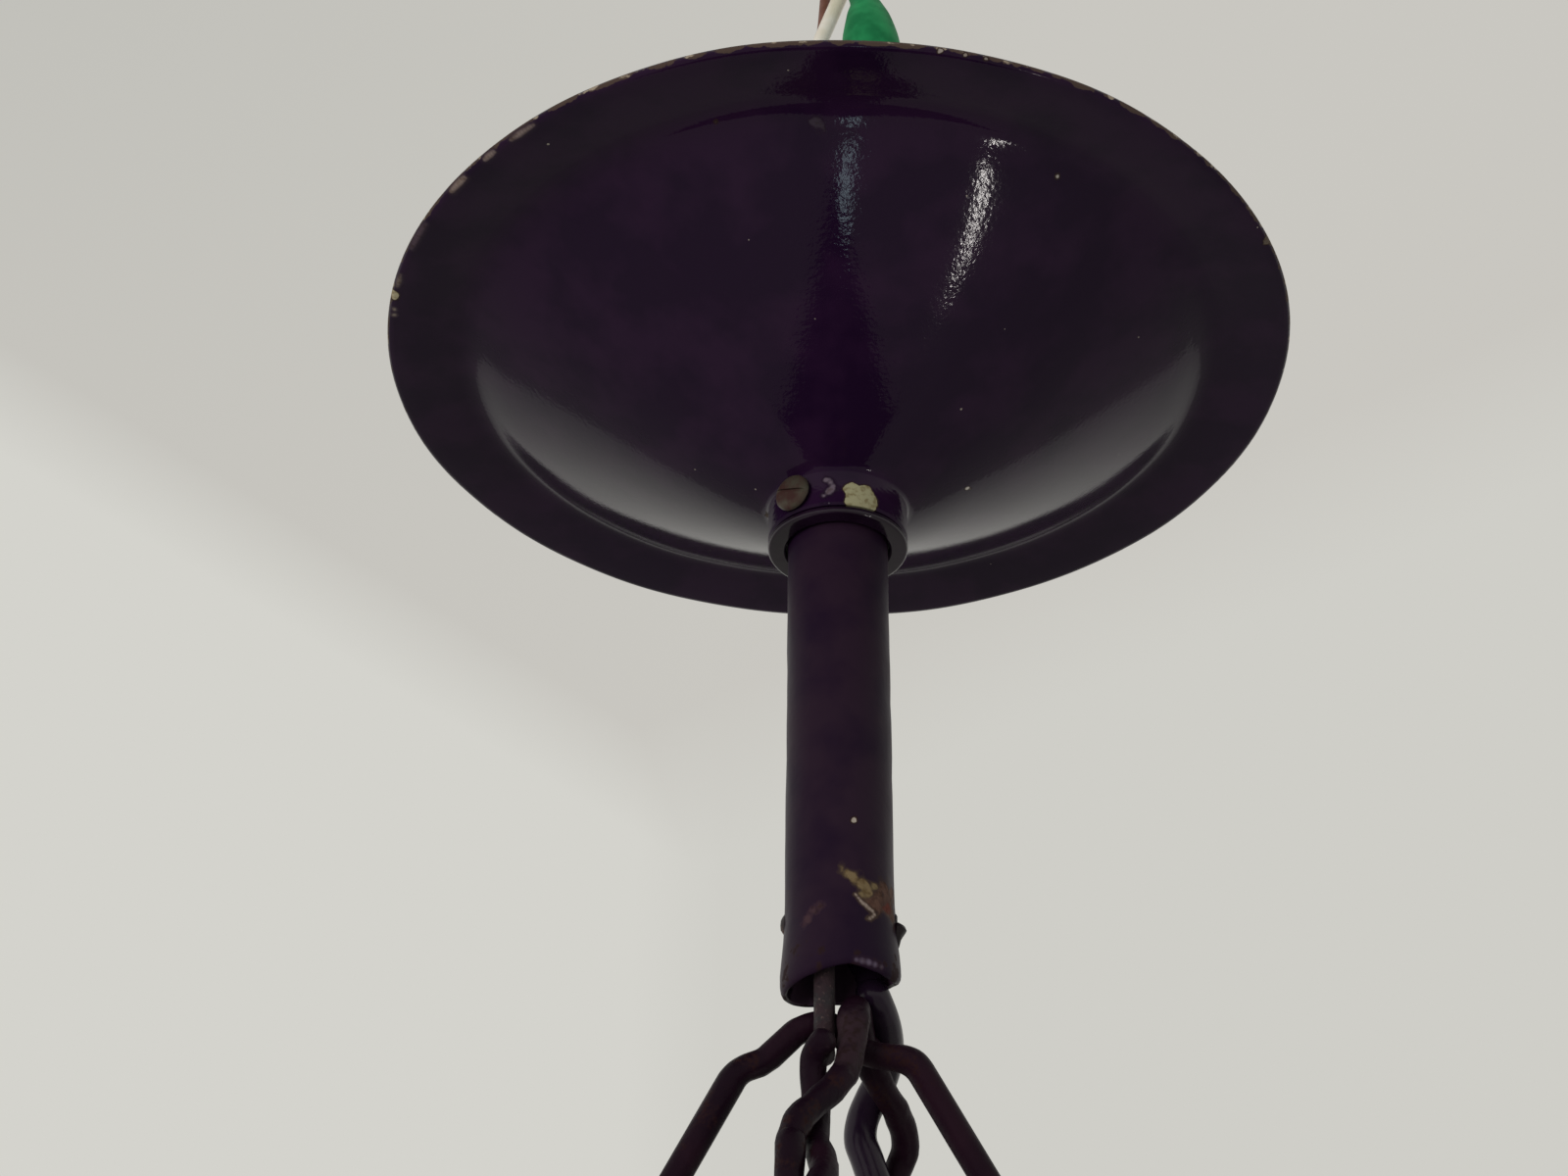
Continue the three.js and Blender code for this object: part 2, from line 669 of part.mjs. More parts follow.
// Offset of the leg's wire from the twist's axis at a height; what is twisted with it lies opposite
function twistOffset({ sense, phase, azimuth }, z) {
  const angle = Math.PI / 2 + (Math.PI * (phase - z)) / twistHalfPitch;
  const across = twistRadius * Math.cos(angle);
  const depth = -twistRadius * Math.sin(angle) * sense;
  const rise = Math.sin(lean) * Math.sin(azimuth);
  return new THREE.Vector3(across, Math.cos(lean) * depth, rise * depth);
}

function twistPoints(axis, side) {
  const points = [];
  for (let z = axis.bend[2]; z > twistEndZ; z -= twistStep) {
    const share = THREE.MathUtils.smoothstep(z, twistEndZ, twistEndZ + twistHalfPitch);
    const reach = side > 0 ? share : share - 2;
    points.push(axisPoint(axis, z).addScaledVector(twistOffset(axis, z), reach));
  }
  return points;
}

function freePoints(drops) {
  return belowMouth(drops).map((p) => new THREE.Vector3(...p));
}

function twistedLeg(axis, drops) {
  const wound = [...twistPoints(axis, 1), axisPoint(axis, twistEndZ - twistStep)];
  return [...freePoints(drops), ...wound, ...cornerHook(axis.azimuth)];
}

// Front and back legs are one wire that rides over the side spreader
function frontBackSpreader() {
  const crest = [];
  const saddleZ = mouthZ - saddleDrop;
  for (let i = -3; i <= 3; i += 1) {
    const angle = i * saddleStep;
    const across = crossingX + saddleLean * i;
    const z = saddleZ + saddleRadius * Math.cos(angle);
    crest.push(new THREE.Vector3(across, saddleRadius * Math.sin(angle), z));
  }
  const front = twistedLeg(twistAxes.front, frontWireDrops).reverse();
  const points = [...front, ...crest, ...twistedLeg(twistAxes.back, backWireDrops)];
  return wire(points, wireRadius, wireSides);
}

function frontTieWire() {
  const points = [...freePoints(tieWireDrops), ...twistPoints(twistAxes.front, -1)];
  return wire(points, wireRadius, wireSides);
}

// Flex from the mouth, wound round the back leg and then down to the roof bush
function hangerFlex() {
  const wound = twistPoints(twistAxes.back, -1).map((p) => p.toArray());
  const roofTop = roofBushTopZ + seat;
  const drop = [
    [...flexDropStart, roofTop + flexDropReach], [...flexDropMiddle, roofTop + flexDropReach],
    [0, 0, roofTop + flexDropEnd], [0, 0, roofTop - flexInBush],
  ];
  return wire(smooth([...mouthFlexRoute, ...wound, ...drop], 60), flexRadius, 8);
}

// Corner eye: a ring on a shank that goes down through the top frame, with its nut below
function cornerEye() {
  const ring = new THREE.TorusGeometry(eyeRing, eyeWire, 6, 14).rotateY(Math.PI / 2).translate(0, 0, eyeZ);
  const shankTop = eyeZ - eyeRing;
  const shankBottom = frameBottomZ - eyeNutHeight - 1;
  const shank = cylinderAt(eyeShankRadius, shankTop - shankBottom, 10, 0, 0, (shankTop + shankBottom) / 2);
  const foot = cylinderAt(eyeFootRadius, eyeFootHeight, 12, 0, 0, frameTopZ + seat + eyeFootHeight / 2);
  const nut = cylinderAt(eyeNutRadius, eyeNutHeight, 6, 0, 0, frameBottomZ - seat - eyeNutHeight / 2);
  const joined = solid(ring).add(solid(shank)).add(solid(foot)).add(solid(nut));
  return surface(joined).translate(cornerRadius, 0, 0);
}

function squareRing(half, inner, bottom, height) {
  const shape = new THREE.Shape();
  shape.moveTo(-half + frameChamfer, -half);
  shape.lineTo(half - frameChamfer, -half);
  shape.lineTo(half, -half + frameChamfer);
  shape.lineTo(half, half - frameChamfer);
  shape.lineTo(half - frameChamfer, half);
  shape.lineTo(-half + frameChamfer, half);
  shape.lineTo(-half, half - frameChamfer);
  shape.lineTo(-half, -half + frameChamfer);
  const hole = new THREE.Path();
  hole.moveTo(-inner, -inner);
  hole.lineTo(-inner, inner);
  hole.lineTo(inner, inner);
  hole.lineTo(inner, -inner);
  shape.holes.push(hole);
  return new THREE.ExtrudeGeometry(shape, { depth: height, bevelEnabled: false }).translate(0, 0, bottom);
}

function topFrame() {
  let body = solid(squareRing(frameHalf, frameInner, frameBottomZ, frameThickness));
  const corner = cornerRadius / Math.SQRT2;
  for (const [sx, sy] of [[1, 1], [-1, 1], [-1, -1], [1, -1]]) {
    const bore = cylinderAt(eyeShankRadius + seat, eyeBoreLength, 12, sx * corner, sy * corner, frameTopZ);
    body = body.subtract(solid(bore));
  }
  return surface(body);
}

function bottomFrame() {
  return squareRing(frameHalf, frameInner, baseBottomZ, frameThickness);
}

// Corner post: an L of bent sheet between the frames, corner outwards at +X +Y
function cornerPost() {
  const shape = new THREE.Shape();
  shape.moveTo(bodyHalf, bodyHalf);
  shape.lineTo(bodyHalf - postLeg, bodyHalf);
  shape.lineTo(bodyHalf - postLeg, bodyHalf - postSheet);
  shape.lineTo(bodyHalf - postSheet, bodyHalf - postSheet);
  shape.lineTo(bodyHalf - postSheet, bodyHalf - postLeg);
  shape.lineTo(bodyHalf, bodyHalf - postLeg);
  const height = bodyHeight - 2 * seat;
  return new THREE.ExtrudeGeometry(shape, { depth: height, bevelEnabled: false })
    .translate(0, 0, bodyBottomZ + seat);
}

function starPath(x, z, radius) {
  const star = new THREE.Path();
  for (let i = 0; i < 16; i += 1) {
    const reach = i % 2 === 0 ? radius : radius * Math.cos(Math.PI / 4) / Math.cos(Math.PI / 8);
    const angle = (Math.PI * i) / 8;
    const corner = [x + reach * Math.cos(angle), z + reach * Math.sin(angle)];
    if (i === 0) star.moveTo(...corner);
    else star.lineTo(...corner);
  }
  return star;
}

function diamondPath(x, z, radius) {
  const diamond = new THREE.Path();
  diamond.moveTo(x + radius, z);
  diamond.lineTo(x, z + radius);
  diamond.lineTo(x - radius, z);
  diamond.lineTo(x, z - radius);
  return diamond;
}

// Sheet in the XZ plane, pierced with rows of eight-point stars and diamonds between them
function piercedSheet(halfWidth, height, thickness, pitchX) {
  const shape = new THREE.Shape();
  shape.moveTo(-halfWidth, -height / 2);
  shape.lineTo(halfWidth, -height / 2);
  shape.lineTo(halfWidth, height / 2);
  shape.lineTo(-halfWidth, height / 2);
  for (let row = 0; row < starRows; row += 1) {
    const z = (row - (starRows - 1) / 2) * starPitchZ;
    for (let column = 0; column < starColumns; column += 1) {
      const x = (column - (starColumns - 1) / 2) * pitchX;
      shape.holes.push(starPath(x, z, starRadius));
      if (column < starColumns - 1 && row < starRows - 1) {
        shape.holes.push(diamondPath(x + pitchX / 2, z + starPitchZ / 2, diamondRadius));
      }
    }
  }
  return new THREE.ExtrudeGeometry(shape, { depth: thickness, bevelEnabled: false })
    .rotateX(Math.PI / 2).translate(0, thickness, 0);
}

// Screens and panes stand at -Y here; the sheet's outer face is the lower y
function screen() {
  const y = -(bodyHalf - postSheet - seat);
  const height = bodyHeight - 2 * seat;
  return piercedSheet(-y - screenSheet - seat, height, screenSheet, starPitchX)
    .translate(0, y, bodyBottomZ + bodyHeight / 2);
}

function glassPane(halfWidth, outerY, height) {
  return new THREE.BoxGeometry(2 * halfWidth, glassThickness, height)
    .translate(0, outerY + glassThickness / 2, bodyBottomZ + bodyHeight / 2);
}

function sidePane() {
  const outer = -(bodyHalf - postSheet - seat - screenSheet - seat);
  return glassPane(-outer - glassThickness - seat, outer, bodyHeight - 2 * seat);
}

const doorHalf = bodyHalf - postLeg - doorGap;
const doorMiddleZ = bodyBottomZ + bodyHeight / 2;
const doorHeight = bodyHeight - 2 * doorGap;
const doorFrontY = -bodyHalf - doorProud;
const hingeX = -(doorHalf + doorGap / 2);
const hingeY = doorFrontY - knuckleRadius - 0.1;
const knuckleZs = [doorMiddleZ + doorHeight * 0.32, doorMiddleZ - doorHeight * 0.32];

function knuckle(z, length) {
  return solid(cylinderAt(knuckleRadius, length, 16, hingeX, hingeY, z));
}

function hingeBore() {
  return solid(cylinderAt(knuckleBore, bodyHeight * 2, 14, hingeX, hingeY, doorMiddleZ));
}

function door() {
  let body = solid(piercedSheet(doorHalf, doorHeight, doorThickness, starPitchX * 0.94)
    .translate(0, doorFrontY, doorMiddleZ));
  for (const z of knuckleZs) {
    const web = new THREE.BoxGeometry(knuckleWeb, knuckleRadius + 2 * seat, knuckleLength)
      .translate(hingeX + (knuckleWeb + knuckleRadius) / 2 - 0.45, doorFrontY - knuckleRadius / 2 + seat, z);
    body = body.add(knuckle(z, knuckleLength)).add(solid(web));
  }
  const pull = new THREE.CylinderGeometry(pullRadius * 0.75, pullRadius, pullLength, 14)
    .translate(doorHalf - 7, doorFrontY - pullLength / 2 + 0.1, doorMiddleZ + pullRise);
  return surface(body.add(solid(pull)).subtract(hingeBore()));
}

function doorGlass() {
  return glassPane(doorHalf - doorGap, doorFrontY + doorThickness + seat, doorHeight - 2 * doorGap);
}

// Two hinge leaves on the left post, each with a knuckle above and below the door's own
function hingeLeaf(z) {
  const reach = knuckleLength / 2 + seat + knuckleLength / 4;
  const plateRight = hingeX - knuckleRadius - running;
  const plate = new THREE.BoxGeometry(leafWidth, leafSheet, knuckleLength * 2)
    .translate(plateRight - leafWidth / 2, -bodyHalf - seat - leafSheet / 2, z);
  let body = solid(plate);
  for (const side of [-1, 1]) {
    const at = z + side * reach;
    const web = new THREE.BoxGeometry(leafWeb, knuckleRadius + leafSheet, knuckleLength / 2)
      .translate(hingeX - knuckleRadius + 0.1, -bodyHalf - seat - (knuckleRadius + leafSheet) / 2, at);
    body = body.add(knuckle(at, knuckleLength / 2)).add(solid(web));
  }
  return surface(body.subtract(hingeBore()));
}

function hingePin() {
  const top = knuckleZs[0] + knuckleLength + 2 * seat + 0.1;
  const bottom = knuckleZs[1] - knuckleLength - 1;
  const rod = cylinderAt(hingePinRadius, top - bottom, 12, hingeX, hingeY, (top + bottom) / 2);
  const cap = new THREE.SphereGeometry(pinCapRadius, 12, 8)
    .translate(hingeX, hingeY, top + pinCapRadius * 0.73);
  return surface(solid(rod).add(solid(cap)));
}

const latchX = doorHalf + doorGap + postLeg * 0.45;

// Turn latch: a bar on a rivet in the right post, standing upright when the door is free
function turnLatch() {
  const shape = new THREE.Shape();
  const half = latchWidth / 2;
  shape.moveTo(half, 0);
  shape.lineTo(half, latchLength - half);
  shape.absarc(0, latchLength - half, half, 0, Math.PI, false);
  shape.lineTo(-half, 0);
  shape.absarc(0, 0, half, Math.PI, 2 * Math.PI, false);
  const hole = new THREE.Path();
  hole.absarc(0, 0, rivetRadius + seat, 0, 2 * Math.PI, true);
  shape.holes.push(hole);
  return new THREE.ExtrudeGeometry(shape, { depth: latchThickness, bevelEnabled: false, curveSegments: 8 })
    .rotateX(Math.PI / 2).translate(latchX, doorFrontY - seat, doorMiddleZ - latchDrop);
}

function latchRivet() {
  const front = -bodyHalf - doorProud - latchThickness - 2 * seat;
  const profile = [
    [0, 0.3], [rivetRadius, 0.3], [rivetRadius, -front - bodyHalf], [rivetRadius * 1.9, -front - bodyHalf],
    [rivetRadius * 1.4, -front - bodyHalf + 1], [0, -front - bodyHalf + 1.3],
  ];
  return turned(profile, 14).rotateX(Math.PI / 2).translate(latchX, -bodyHalf, doorMiddleZ - latchDrop);
}

function roof() {
  return turned(sheetProfile(roofProfile, postSheet), 4).translate(0, 0, frameTopZ + seat);
}

function roofBush() {
  const bottom = roofBushTopZ - bushHeight;
  const profile = [
    [nippleRadius + seat, bottom], [bushRadius + 3.5, bottom], [bushRadius + 3.5, bottom + 2.5],
    [bushRadius, bottom + 4], [bushRadius - 1.5, bottom + 7], [bushRadius - 2, bottom + 9.5],
    [nippleBore + 2.2, roofBushTopZ], [nippleBore - 1, roofBushTopZ], [nippleBore - 1, roofBushTopZ - 2.5],
    [nippleRadius + seat, roofBushTopZ - 2.5], [nippleRadius + seat, bottom],
  ];
  return turned(profile, 18);
}

const nippleTopZ = roofBushTopZ - 2.5 - seat;
const nippleBottomZ = nippleTopZ - nippleLength;
const holderTopZ = nippleBottomZ + holderNeck;

function nipple() {
  const profile = [
    [nippleBore, nippleTopZ], [nippleRadius, nippleTopZ], [nippleRadius, nippleBottomZ],
    [nippleBore, nippleBottomZ], [nippleBore, nippleTopZ],
  ];
  return turned(profile, 18);
}

function lampholder() {
  const bottom = holderTopZ - holderHeight;
  const profile = [
    [nippleRadius + seat, holderTopZ], [nippleRadius + seat, holderTopZ - holderNeck - 1.5],
    [bulbCapRadius + seat, holderTopZ - holderNeck - 6], [bulbCapRadius + seat, bottom],
    [holderRadius - 1.2, bottom], [holderRadius, bottom + 1.5], [holderRadius, bottom + holderSkirt],
    [holderRadius - holderStep, bottom + holderSkirt + holderStep],
    [holderRadius - holderStep, holderTopZ - holderNeck], [holderRadius - 6, holderTopZ - 3],
    [holderTopRadius, holderTopZ], [nippleRadius + seat, holderTopZ],
  ];
  return turned(profile, 20);
}

function bulb() {
  const top = holderTopZ - holderNeck - bulbInHolder;
  const capEnd = holderTopZ - holderHeight - bulbGap;
  const glass = bulbOutline.map(([r, z]) => [r * bulbRadius, capEnd - z * bulbLength]);
  const profile = [
    [0, top], [5, top - 0.6], [bulbCapRadius - 1, top - 4], [bulbCapRadius, top - 6], [bulbCapRadius, capEnd],
    ...glass,
  ];
  return turned(profile, 16);
}

function baseTray() {
  return turned(sheetProfile(trayProfile, -postSheet), 4).translate(0, 0, baseBottomZ - seat);
}

const finialTopZ = baseBottomZ - seat + trayProfile.at(-1)[1] - seat;
const finialEyeZ = finialTopZ - finialHeight - finialEye;

function finial() {
  const profile = [
    [0, finialStud], [finialStudRadius, finialStud], [finialStudRadius, 0], [finialPlateRadius, 0],
    [finialPlateRadius, -2], [5, -4.5], [4.5, -6], [finialRadius - 1.5, -8.5], [finialRadius, -12],
    [finialRadius - 1.8, -15.5], [4, -18.5], [2.2, -finialHeight], [0, -finialHeight - 0.8],
  ];
  const eye = new THREE.TorusGeometry(finialEye, finialEyeWire, 6, 14).rotateX(Math.PI / 2);
  return surface(solid(turned(profile, 14).translate(0, 0, finialTopZ))
    .add(solid(eye.translate(0, 0, finialEyeZ))));
}

// Nut on the finial's stud, resting on the slopes inside the tray
function finialNut() {
  const bottom = finialTopZ + finialNutRise;
  return turned([
    [finialStudRadius + seat, bottom], [finialNutRadius, bottom], [finialNutRadius, bottom + 1.4],
    [7.5, bottom + 1.8],
    [7.5, bottom + 3.6], [finialStudRadius + seat, bottom + 3.6], [finialStudRadius + seat, bottom],
  ], 12);
}

function finialRing() {
  const barZ = finialEyeZ - finialEye + finialEyeWire + seat + ringWire;
  return new THREE.TorusGeometry(ringRadius, ringWire, 6, 24).rotateY(Math.PI / 2)
    .translate(0, 0, barZ - ringRadius);
}

place(lamp, 'ceiling_hook', ceilingHook(), 'vinyl');
place(lamp, 'top_bail', topBail(), 'steel');
place(lamp, 'upper_cross_pin', upperPin(), 'steel');
place(lamp, 'stem_tube', stemTube(), 'paint');
place(lamp, 'lower_cross_pin', lowerPin(), 'steel');
place(lamp, 'main_link', mainLink(), 'rust');

const canopy = new THREE.Group();
canopy.position.z = rimZ;
lamp.add(canopy);
place(canopy, 'canopy_shell', canopyShell(), 'paint');
place(canopy, 'canopy_collar', canopyCollar(), 'paint');
place(canopy, 'canopy_screw', canopyScrew(), 'screw');

place(lamp, 'terminal_block', terminalBlock(), 'block');
place(lamp, 'cream_lead', lead(creamLeadRoute, creamLeadRadius), 'cream');
place(lamp, 'brown_lead', lead(brownLeadRoute, brownLeadRadius), 'brown');
place(lamp, 'stem_flex', stemFlex(), 'flex');
place(lamp, 'side_spreader', sideSpreader(), 'steel');
place(lamp, 'front_back_spreader', frontBackSpreader(), 'steel');
place(lamp, 'front_tie_wire', frontTieWire(), 'steel');
place(lamp, 'hanger_flex', hangerFlex(), 'flex');

// Eyes stand at the corners, which point along the X and Y axes
for (let i = 0; i < 4; i += 1) {
  const eye = place(lamp, `corner_eye_${i + 1}`, cornerEye(), 'steel');
  eye.rotation.z = (i * Math.PI) / 2;
}

// The square body is drawn with its sides along X and Y, then turned an eighth
const body = new THREE.Group();
body.rotation.z = Math.PI / 4;
lamp.add(body);
place(body, 'top_frame', topFrame(), 'paint');
place(body, 'bottom_frame', bottomFrame(), 'paint');
for (let i = 0; i < 4; i += 1) {
  const post = place(body, `corner_post_${i + 1}`, cornerPost(), 'paint');
  post.rotation.z = (i * Math.PI) / 2;
}
for (let i = 1; i < 4; i += 1) {
  const turn = (i * Math.PI) / 2;
  place(body, `pierced_screen_${i}`, screen(), 'paint').rotation.z = turn;
  place(body, `glass_pane_${i}`, sidePane(), 'glass').rotation.z = turn;
}
place(body, 'door', door(), 'paint');
place(body, 'door_glass', doorGlass(), 'glass');
place(body, 'hinge_leaf_upper', hingeLeaf(knuckleZs[0]), 'steel');
place(body, 'hinge_leaf_lower', hingeLeaf(knuckleZs[1]), 'steel');
place(body, 'hinge_pin', hingePin(), 'steel');
place(body, 'turn_latch', turnLatch(), 'steel');
place(body, 'latch_rivet', latchRivet(), 'steel');

place(lamp, 'roof', roof(), 'paint');
place(lamp, 'roof_bush', roofBush(), 'brass');
place(lamp, 'nipple', nipple(), 'brass');
place(lamp, 'lampholder', lampholder(), 'holder');
place(lamp, 'bulb', bulb(), 'bulb');
place(lamp, 'base_tray', baseTray(), 'paint');
place(lamp, 'finial', finial(), 'paint');
place(lamp, 'finial_nut', finialNut(), 'steel');
place(lamp, 'finial_ring', finialRing(), 'steel');

export default lamp;
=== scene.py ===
"""Lantern pendant lamp, seen from below: canopy, stem, wire hangers and a pierced lantern.

Every size is in millimetres in the lamp's own frame, whose origin is where the ceiling hook
meets the ceiling, and is turned to metres as a mesh is made.
"""

import logging
import math
from dataclasses import dataclass, field
from enum import Enum
from typing import Any, Optional, Sequence, Union

import bpy
from mathutils import Matrix, Vector, noise


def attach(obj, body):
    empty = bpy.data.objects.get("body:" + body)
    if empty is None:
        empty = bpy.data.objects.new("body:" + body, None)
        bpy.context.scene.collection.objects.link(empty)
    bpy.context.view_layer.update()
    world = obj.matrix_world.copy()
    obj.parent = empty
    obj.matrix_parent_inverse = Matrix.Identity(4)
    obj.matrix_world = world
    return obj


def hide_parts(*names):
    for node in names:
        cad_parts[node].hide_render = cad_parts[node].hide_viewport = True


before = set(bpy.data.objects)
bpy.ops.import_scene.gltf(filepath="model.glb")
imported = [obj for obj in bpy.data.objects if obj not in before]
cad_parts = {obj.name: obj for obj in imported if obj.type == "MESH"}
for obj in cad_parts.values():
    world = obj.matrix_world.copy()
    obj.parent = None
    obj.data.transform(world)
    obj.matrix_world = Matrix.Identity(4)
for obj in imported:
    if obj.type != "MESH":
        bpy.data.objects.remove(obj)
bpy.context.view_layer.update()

log = logging.getLogger("lamp")

MM = 0.001
RIM_Z = -95.0
STEM_TOP_Z = -87.0
UPPER_PIN_Z = -91.0
MOUTH_Z = -182.7
LOWER_PIN_Z = -175.5
PICTURE_WIDTH = 1600
PICTURE_HEIGHT = 1200
TO_BACK = math.pi / 2

Point = tuple[float, float, float]
Ring = tuple[float, float]
Blob = tuple[float, float, float, float]
Piece = bpy.types.Object
Socket = bpy.types.NodeSocket
Material = bpy.types.Material


class Body(str, Enum):
    """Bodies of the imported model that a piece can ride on."""

    HOOK = "hook"
    BAIL = "bail"
    STEM = "stem"
    CANOPY = "canopy"
    SCREW = "set_screw"
    LINK = "link"
    LANTERN = "lantern"
    DOOR = "door_leaf"
    LATCH = "latch"
    RING = "ring"


class Along(Enum):
    """What a band of worn paint, and a band of painted light, is measured along."""

    HEIGHT = "height"
    RADIUS = "distance from the stem's axis"


# ---------------------------------------------------------------- materials


def linear(colour: str) -> tuple[float, float, float, float]:
    """Turns an sRGB hex colour into linear light.

    Args:
        colour: '#' and six hex digits.

    Returns:
        Red, green and blue, and 1 for alpha.
    """
    parts = [int(colour[i:i + 2], 16) / 255 for i in (1, 3, 5)]
    lit = [c / 12.92 if c <= 0.04045 else ((c + 0.055) / 1.055) ** 2.4 for c in parts]
    return lit[0], lit[1], lit[2], 1.0


class Look:
    """A material or world in the making: its nodes, and the colour and dullness so far."""

    def __init__(self, owner: Any, coordinates: str = "Object") -> None:
        """Starts on a new material or world.

        Args:
            owner: the material or world.
            coordinates: the coordinates that its patterns are laid out in.
        """
        owner.use_nodes = True
        self.owner = owner
        self.tree = owner.node_tree
        self.place = self.node("TexCoord").outputs[coordinates]
        self.colour: Any = None
        self.dull: Any = None

    def fill(self, node: bpy.types.Node, values: dict[Any, Any]) -> bpy.types.Node:
        """Sets a node's properties and inputs and links sockets to it.

        Args:
            node: the node.
            values: property names, input names or input numbers, each with a number, a hex
                colour or a socket.

        Returns:
            The node.
        """
        for key, value in values.items():
            if isinstance(value, Socket):
                self.tree.links.new(value, node.inputs[key])
            elif isinstance(key, str) and hasattr(node, key):
                setattr(node, key, value)
            else:
                node.inputs[key].default_value = linear(value) if isinstance(value, str) else value
        return node

    def node(self, kind: str, values: Optional[dict[Any, Any]] = None) -> bpy.types.Node:
        """Adds a node of a kind and fills it in."""
        return self.fill(self.tree.nodes.new("ShaderNode" + kind), values or {})

    def maths(self, operation: str, *terms: Any) -> Socket:
        """Joins numbers or sockets by a Math node."""
        return self.node("Math", {"operation": operation, **dict(enumerate(terms))}).outputs[0]

    def vectors(self, operation: str, *terms: Any) -> Socket:
        """Joins vectors by a Vector Math node, which gives a vector for ADD and else a number."""
        values = {"operation": operation, **dict(enumerate(terms))}
        return self.node("VectorMath", values).outputs["Vector" if operation == "ADD" else "Value"]

    def mix(self, share: Any, low: Any, high: Any) -> Socket:
        """Mixes two colours: low where the share is 0 and high where it is 1."""
        values = {"data_type": "RGBA", "clamp_factor": True, 0: share, 6: low, 7: high}
        return self.node("Mix", values).outputs[2]

    def ramp(self, value: Socket, low: float, high: float, start: Any = 0.0,
             end: Any = 1.0) -> Socket:
        """Stretches a value from low..high to start..end, held at both ends.

        Args:
            value: the socket to stretch.
            low: the value that gives start.
            high: the value that gives end.
            start: the result at low.
            end: the result at high.

        Returns:
            The result's socket.
        """
        numbers = {"From Min": low, "From Max": high, "To Min": start, "To Max": end}
        return self.node("MapRange", {"clamp": True, **numbers, "Value": value}).outputs[0]

    def grain(self, size_mm: float, detail: float = 2.0, shift: float = 0.0,
              place: Optional[Socket] = None) -> Socket:
        """Makes noise around 0.5 whose blotches are about one size across.

        Args:
            size_mm: the size of a blotch.
            detail: how many finer layers are added.
            shift: how far the pattern is moved, so that two patterns differ.
            place: the coordinates that it reads, if not the look's own.

        Returns:
            The noise's socket.
        """
        moved = self.vectors("ADD", self.place if place is None else place,
                             (shift, shift * 0.7, shift * 1.3))
        values = {"Scale": 1 / (size_mm * MM), "Detail": detail, "Vector": moved}
        return self.node("TexNoise", values).outputs["Fac"]

    def clouds(self, size_mm: float, detail: float, low: float, high: float, start: float = 0.0,
               end: float = 1.0, shift: float = 0.0) -> Socket:
        """Makes noise and stretches it from low..high to start..end."""
        return self.ramp(self.grain(size_mm, detail, shift), low, high, start, end)

    def cover(self, share: Socket, colour: Any, matt: float = 0.0) -> None:
        """Lays a patch over the colour so far, and makes the surface at least as dull there.

        Args:
            share: how much of the patch shows.
            colour: the patch's colour.
            matt: its roughness, or 0 to leave the roughness alone.
        """
        self.colour = self.mix(share, self.colour, colour)
        if matt > 0:
            self.dull = self.maths("MAXIMUM", self.dull, self.maths("MULTIPLY", share, matt))

    def finish(self, colour: Any, roughness: Any, height: Optional[Socket] = None,
               depth_mm: float = 0.0, others: Optional[dict[str, Any]] = None) -> Material:
        """Feeds the surface shader.

        Args:
            colour: the base colour.
            roughness: a number or socket.
            height: the relief, where there is one.
            depth_mm: how deep the relief is.
            others: further inputs of the shader.

        Returns:
            The finished material.
        """
        values = {"Base Color": colour, "Roughness": roughness, **(others or {})}
        if height is not None:
            relief = {"Strength": 1.0, "Distance": depth_mm * MM, "Height": height}
            values["Normal"] = self.node("Bump", relief).outputs[0]
        self.fill(next(n for n in self.tree.nodes if n.type == "BSDF_PRINCIPLED"), values)
        return self.owner


@dataclass(frozen=True)
class ChipAndHighlight:
    """A patch laid into the paint as round blobs run together: mostly a chip where the paint has
    come off, and on the stem's lip a painted highlight.

    Each blob is x, y, the drop below the canopy's rim and a radius, in mm.
    """

    blobs: tuple[Blob, ...]
    colour: str = "#8f8a76"
    torn: float = 0.7
    edge: str = "#2c1a17"
    soft: float = 0.1

    def shade(self) -> str:
        """Gives the darker blotches in a mark: its own colour, darker and a little warmer."""
        parts = zip((1, 3, 5), (0.8, 0.76, 0.7))
        return "#" + "".join(f"{round(int(self.colour[i:i + 2], 16) * k):02x}" for i, k in parts)

    def distance(self, look: Look) -> Socket:
        """Gives the distance from the chip's edge in mm, negative inside it.

        Args:
            look: the look that the chip is in.

        Returns:
            The distance's socket.
        """
        nearest: Any = 50.0
        for x, y, drop, radius in self.blobs:
            away = look.vectors("DISTANCE", look.place, (x * MM, y * MM, (RIM_Z - drop) * MM))
            gap = look.maths("SUBTRACT", look.maths("DIVIDE", away, MM), radius)
            nearest = look.maths("SMOOTH_MIN", nearest, gap, 0.5)
        return nearest


def rim_smear(start: float, end: float, colour: str, edge: str = "#2f2231",
              soft: float = 0.4) -> ChipAndHighlight:
    """Lays a thin chip along the underside of the canopy's rim, thinner at its ends.

    Args:
        start: the angle of its first blob, in degrees.
        end: the angle of its last blob.
        colour: the chip's colour.
        edge: the colour of its edge.
        soft: how soft the edge is.

    Returns:
        The chip.
    """
    reach, drop, size, spacing = 59.55, 0.95, 0.16, 0.45
    count = max(3, round(abs(end - start) / spacing) + 1)
    turns = [math.radians(start + (end - start) * i / (count - 1)) for i in range(count)]
    blobs = tuple((reach * math.cos(turn), reach * math.sin(turn), drop,
                   size * math.sin(math.pi * (i + 0.5) / count)) for i, turn in enumerate(turns))
    return ChipAndHighlight(blobs, colour, 0.08, edge, soft)


